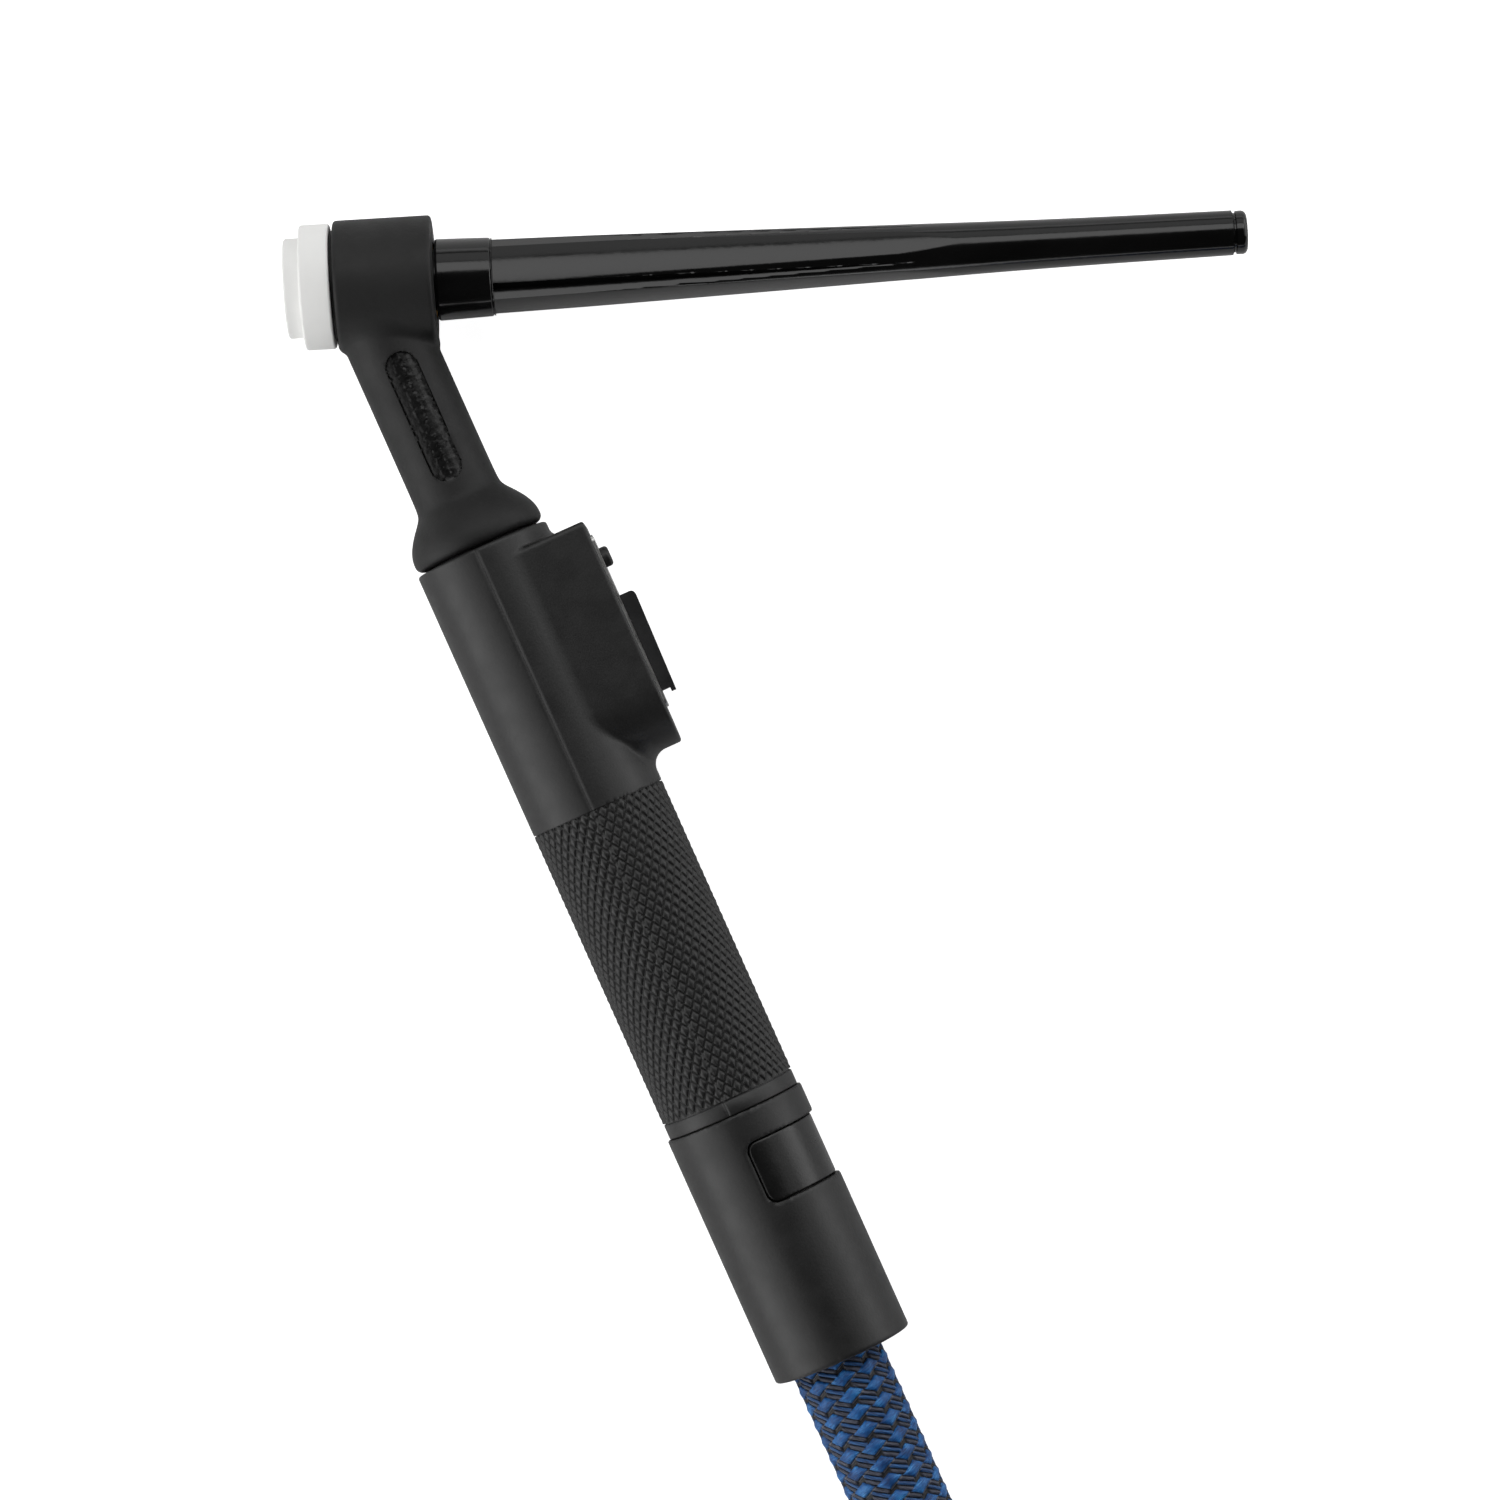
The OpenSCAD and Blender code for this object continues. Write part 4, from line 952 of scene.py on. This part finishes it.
class TORCH_OT_handle(bpy.types.Operator):
    """Add the two handle shells with their grip and switch housing, and the rear sleeve"""

    bl_idname = "torch.handle"
    bl_label = "Handle"

    def execute(self, context):
        settings = context.scene.torch_handle
        pitch, depth, diamonds = settings.pitch * 1000, settings.depth * 1000, settings.diamonds

        def relief(angle, v):
            across, up = diamonds * angle / (2 * math.pi), (v - GRIP_START) / pitch
            reach = 2 * np.maximum(np.abs((across + up) % 1 - 0.5), np.abs((across - up) % 1 - 0.5))
            return depth * (0.42 * reach + 0.58 * ease((reach - 0.66) / 0.34))

        fine = 2 * math.pi / (diamonds * 12) * np.arange(-diamonds * 6, diamonds * 12)
        plain = np.radians(np.arange(-180, 361, 2.5))
        tongue = [(8.0, 10.4, 8.6), (44.45, 10.4, 8.6)]
        grip = grip_rows(pitch)
        front, rear = ([half_barrel(tongue, side, plain), half_barrel(grip, side, fine, relief)]
                       for side in (True, False))

        cell = (18.1 / 56, 47.25 / 148, 0.32)
        low = (PARTING - 1.5 * cell[0], BARREL_START - 1.5 * cell[1], -39 * cell[2])
        points, quads = surface(barrel_front, low, cell, (60, 152, 79))
        # the seam's edge is broken here as well
        radius = np.hypot(points[:, 0], points[:, 2])
        rim = (points[:, 0] < PARTING + 0.02) & (radius > 11.3) & (points[:, 1] < 146.6)
        points[rim, 2] *= (BARREL - 0.2) / radius[rim]
        front.append((points, quads))
        piece("shell_front", front, "torch", "shell_plastic", ("front_shell",), 40.0)

        cell = 0.3
        low = (-0.35 - 1.5 * cell, 28.35 - 1.5 * cell, -40.5 * cell)
        latch = surface(latch_field, low, (cell, cell, cell), (44, 40, 82))
        piece("latch", [latch], "torch", "shell_plastic", (), 50.0, finish="latch_plastic")

        upper = [(BARREL_START, BARREL, BORE), (134.0, BARREL, BORE), (134.01, BARREL, TOP_BORE)]
        upper += [(v, radius, TOP_BORE) for v, radius in arc((146.5, BARREL - 0.5), 0.5, 0, 90, 7)]
        rear.append(half_barrel(upper, False, plain))
        piece("shell_rear", rear, "torch", "shell_plastic", ("rear_shell",), 40.0)

        cell = (0.39, 28.2 / 72, 0.39)
        low = (-0.5 - 31.5 * cell[0], -1.5 * cell[1], -32 * cell[2])
        sleeve = surface(sleeve_field, low, cell, (66, 118, 65))
        piece("sleeve", [sleeve], "torch", "sleeve_plastic", ("rear_sleeve",), 50.0)
        return {"FINISHED"}


# ---------- Head ----------


def recess_outline(u, v):
    """Distance from the middle line of the neck's recess."""
    return np.hypot(u - 0.4, v - np.clip(v, 161.9, 179.5))


def head_field(blend, grain):
    def field(u, v, z):
        x, y = u - HEAD[0], v - HEAD[1]
        s = x * HEAD_AXIS[0] + y * HEAD_AXIS[1]
        out = np.hypot(x * HEAD_SIDE[0] + y * HEAD_SIDE[1], z)
        r = np.hypot(u, z)
        drum = meet(out - 10.85, slab(s, -8.05, 8.3), 0.6)
        # the neck widens in a quarter wave down to the handle
        t = (155.85 - v) / 7.0
        t = np.clip(0.5 * (t + np.sqrt(t * t + 0.012)), 0, 1) * 0.5 * math.pi
        flare = np.where(v > 148.85, 7.3 + 4.1 * np.sin(t), 11.4)
        lean = np.where(v > 148.85, 4.1 * 0.5 * math.pi / 7 * np.cos(t), 0)
        stem = meet((r - flare) / np.sqrt(1 + lean**2), 147.35 - v, 1.3)
        stem = np.maximum(stem, v - HEAD[1])
        whole = join(drum, stem, blend)
        coarse = np.sin(6.1 * u + 2.3 * np.sin(4.7 * v)) * np.sin(5.3 * v + 1.9 * np.sin(5.9 * u))
        fine = 0.6 * np.sin(13.0 * u + 8.0 * v) * np.sin(11.0 * v - 7.0 * u)
        floor = RECESS_FLOOR + grain * (coarse + fine)
        recess = np.maximum(np.maximum(recess_outline(u, v) - 2.7, floor - r), -z)
        whole = meet(whole, -recess, 0.1)
        # the spigot inside the handle, with a flat beside the switch's board
        plug = np.minimum(np.maximum(r - 8.65, slab(v, 131.0, 148.0)),
                          np.maximum(r - 9.8, slab(v, 131.0, 133.95)))
        flat = np.maximum(np.maximum(9.3 - u, np.abs(z) - 5.7), slab(v, 100.0, 141.5))
        whole = np.minimum(whole, np.maximum(np.maximum(plug, v - 148.0), -flat))
        bore = np.maximum(out - 7.6, slab(s, -9.0, 9.3))
        channel = np.minimum(np.maximum(r - 3.2, v - HEAD[1]),
                             np.maximum(r - 4.7, slab(v, 180.6, HEAD[1])))
        return np.maximum(np.maximum(whole, -bore), -channel)

    return field


class TORCH_OT_head(bpy.types.Operator):
    """Add the rubber cover of head and neck, and the white cup gasket"""

    bl_idname = "torch.head"
    bl_label = "Head"

    def execute(self, context):
        settings = context.scene.torch_head
        field = head_field(settings.blend * 1000, settings.rough_floor * 1000)
        cell = 0.29
        shell = surface(field, (-12.0, 130.4, -41.5 * cell), (cell, cell, cell), (95, 268, 84))
        cover = piece("cover", [shell], "torch", "head_rubber", ("head_cover",), 45.0)
        u, v, z = shell[0].T
        r = np.hypot(u, z)
        # where this mask is 1, the rubber's colour is darkened with painted shade
        recess_shade_mask = ease((RECESS_FLOOR + 0.3 - r) / 0.15)
        recess_shade_mask *= (recess_outline(u, v) < 2.72) * (z > 0) * (r > 6.3)
        layer = cover.data.attributes.new("recess", "FLOAT", "POINT")
        layer.data.foreach_set("value", recess_shade_mask.astype(np.float32))

        # the rubber's thin lips over the ends of the brass
        lips = [lathe(profile, HEAD, HEAD_AXIS, HEAD_SIDE, 96) for profile in (
            [(-8.6, 6.3), (-8.0, 6.3), (-8.0, 9.2), (-8.5, 9.2), (-8.6, 9.1)],
            [(8.22, 6.35), (8.45, 6.35), (8.45, 8.1), (8.38, 8.2), (8.22, 8.2)])]
        piece("cover_lips", lips, "torch", "head_rubber", (), 40.0)

        e = 0.45
        profile = [(-16.45, 5.3), (-16.25, 5.0), (-12.0, 5.0), (-12.0, 6.0), (-8.85, 6.0),
                   (-8.65, 6.2)]
        profile += arc((-8.65 - e, 10.45 - e), e, 90, 0, 8)
        profile += arc((-13.7 + e, 10.45 - e), e, 0, -90, 8)
        profile += [(-13.7, 8.6), (-13.78, 8.42), (-13.95, 8.35)]
        profile += arc((-16.45 + e, 8.35 - e), e, 0, -90, 8)
        piece("gasket", [lathe(profile, HEAD, HEAD_AXIS, HEAD_SIDE, 160)], "torch", "gasket_white",
              ("cup_gasket",), 50.0)
        return {"FINISHED"}


# ---------- Back cap ----------


def cap_radius(s):
    """The cap's two tapers with the blend between them."""
    slope, end_slope = (4.05 - 6.5) / 92.0, (3.75 - 4.05) / (141.55 - 109.9)
    x = (s - 109.9) / 15.0
    knee = 0.0 if x < -1 else x if x > 1 else (x + 1) ** 2 / 4
    return 6.5 + slope * (s - 17.9) + (end_slope - slope) * 15.0 * knee


class TORCH_OT_cap(bpy.types.Operator):
    """Add the fluted back cap with its thread"""

    bl_idname = "torch.cap"
    bl_label = "Back cap"

    def execute(self, context):
        settings = context.scene.torch_cap
        flutes = settings.flutes
        pitch = settings.thread_pitch * 1000
        half = 3.25
        share = math.pi / flutes
        rows = [(s, radius, "plain") for s, radius in (
            (6.1, 4.75), (8.35, 4.75), (8.4, 5.2), (8.7, 5.2), (8.7, 6.45), (8.74, 6.62),
            (8.86, 6.74), (9.1, 6.8), (13.0, 6.7), (17.5, 6.56), (17.72, 6.53), (17.84, 6.42),
            (17.9, 6.32), (17.98, 6.32), (18.06, cap_radius(18.1) - 0.03),
            (18.16, cap_radius(18.16)))]
        thread = [(s, 5.2, "thread") for s in np.arange(0.7, 6.05, pitch / 9)]
        rows = [(135.9, 2.1, "plain"), (0.7, 2.1, "plain"), *thread, *rows]
        fluted = (18.24, 18.32, *np.arange(18.6, 97.5, 0.45), *np.arange(97.8, 141.0, 1.2), 141.45)
        rows += [(s, cap_radius(s), "fluted") for s in fluted]
        tip = [(141.6, 3.42), (141.66, 3.3), (141.9, 3.3), (141.96, 3.42), (142.05, 3.62)]
        rows += [(s, radius, "plain") for s, radius in tip + arc((142.98, 2.75), 0.9, 0, 90, 9)]
        floors = (FLUTE_FLOOR, cap_radius(85.7) - 0.45, cap_radius(97.7) + 0.15)
        centres = math.pi - settings.flute_turn + 2 * share * np.arange(flutes)
        table = []
        for s, radius, kind in rows:
            # a flute has a flat floor and two walls; its columns are close together at its edges
            floor = np.interp(s, (18.2, 85.7, 97.7), floors)
            hold = min(floor, radius * 0.999) if kind == "fluted" else FLUTE_FLOOR * radius / 6.5
            inner = math.acos(min(hold / max(radius, hold + 1e-6), 1.0))
            inner = min(math.atan2(half, hold), inner)
            outer = min(math.asin(min(half / radius, 0.95)), share * 0.9)
            outer = max(outer, inner + 0.004) if math.hypot(half, hold) < radius else inner + 0.012
            outer = min(outer, share * 0.95)
            one_side = np.concatenate([
                np.linspace(0, inner * 0.86, 6), [inner * 0.94, inner * 0.98, inner],
                np.linspace(inner, outer, 4)[1:], [outer + 0.012, outer + 0.035],
                np.linspace(outer + 0.08, share, 8)])
            turn = np.concatenate([-one_side[:0:-1], one_side[:-1]])
            angle = (centres[:, None] + turn).ravel()
            r = np.full(angle.shape, float(radius))
            if kind == "fluted" and floor < radius:
                local = np.tile(turn, flutes)
                # the floor is slightly crowned between its two edges
                edge = min(half, math.sqrt(max(radius**2 - floor**2, 0.01)))
                crown = np.clip(1 - (floor * np.tan(local) / edge) ** 2, 0, 1)
                bottom = np.where(np.abs(local) <= math.atan2(half, floor),
                                  floor / np.cos(local) + 0.32 * (edge / half) ** 2 * crown,
                                  half / np.maximum(np.abs(np.sin(local)), 1e-6))
                r = np.minimum(radius, bottom) - 0.03 * np.exp(-np.abs(bottom - radius) / 0.05)
            elif kind == "thread":
                phase = (s / pitch - angle / (2 * math.pi)) % 1
                r -= 0.62 * np.clip(2.7 * np.abs(phase - 0.5) - 0.15, 0, 1)
                r -= 0.25 * ease((1.4 - s) / 0.7)
            # the cap's upper side is at half a turn, its other sides follow about the axis
            out = -np.cos(angle)[:, None] * UP + np.sin(angle)[:, None] * HEAD_SIDE
            table.append(HEAD + s * HEAD_AXIS + r[:, None] * out)
        piece("long_cap", [tube(np.array(table))], "cap", "cap_phenolic", ("back_cap",), 13.0)
        return {"FINISHED"}


# ---------- Remaining pieces ----------


class TORCH_OT_finishes(bpy.types.Operator):
    """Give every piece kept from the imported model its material"""

    bl_idname = "torch.finishes"
    bl_label = "Finishes"

    def execute(self, context):
        for name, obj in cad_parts.items():
            for place in obj.material_slots:
                slot = place.material.name.split(".")[0]
                if slot not in FINISHES:
                    raise RuntimeError(f"{name}: no finish for {slot}")
                place.material = material(slot)
        return {"FINISHED"}


# ---------- Add-on ----------


class TORCH_PT_panel(bpy.types.Panel):
    """Buttons and settings of the torch"""

    bl_idname = "TORCH_PT_panel"
    bl_label = "Torch"
    bl_space_type = "VIEW_3D"
    bl_region_type = "UI"
    bl_category = "Torch"

    def draw(self, context):
        for group, operator in STEPS:
            box = self.layout.box()
            box.operator(operator.bl_idname)
            if group:
                settings = getattr(context.scene, group)
                for key in settings.__annotations__:
                    box.prop(settings, key)


STEPS = (
    ("torch_stage", TORCH_OT_stage),
    ("torch_cable", TORCH_OT_cable),
    ("torch_handle", TORCH_OT_handle),
    ("torch_head", TORCH_OT_head),
    ("torch_cap", TORCH_OT_cap),
    (None, TORCH_OT_finishes),
)
GROUPS = {
    "torch_stage": StageSettings,
    "torch_cable": CableSettings,
    "torch_handle": HandleSettings,
    "torch_head": HeadSettings,
    "torch_cap": CapSettings,
}
CLASSES = (*GROUPS.values(), *(operator for _, operator in STEPS), TORCH_PT_panel)


def register():
    for cls in CLASSES:
        bpy.utils.register_class(cls)
    for name, group in GROUPS.items():
        setattr(bpy.types.Scene, name, PointerProperty(type=group))


def unregister():
    for name in GROUPS:
        delattr(bpy.types.Scene, name)
    for cls in reversed(CLASSES):
        bpy.utils.unregister_class(cls)


def main():
    register()
    for operator in ("stage", "cable", "handle", "head", "cap", "finishes"):
        getattr(bpy.ops.torch, operator)()


if __name__ == "__main__":
    main()
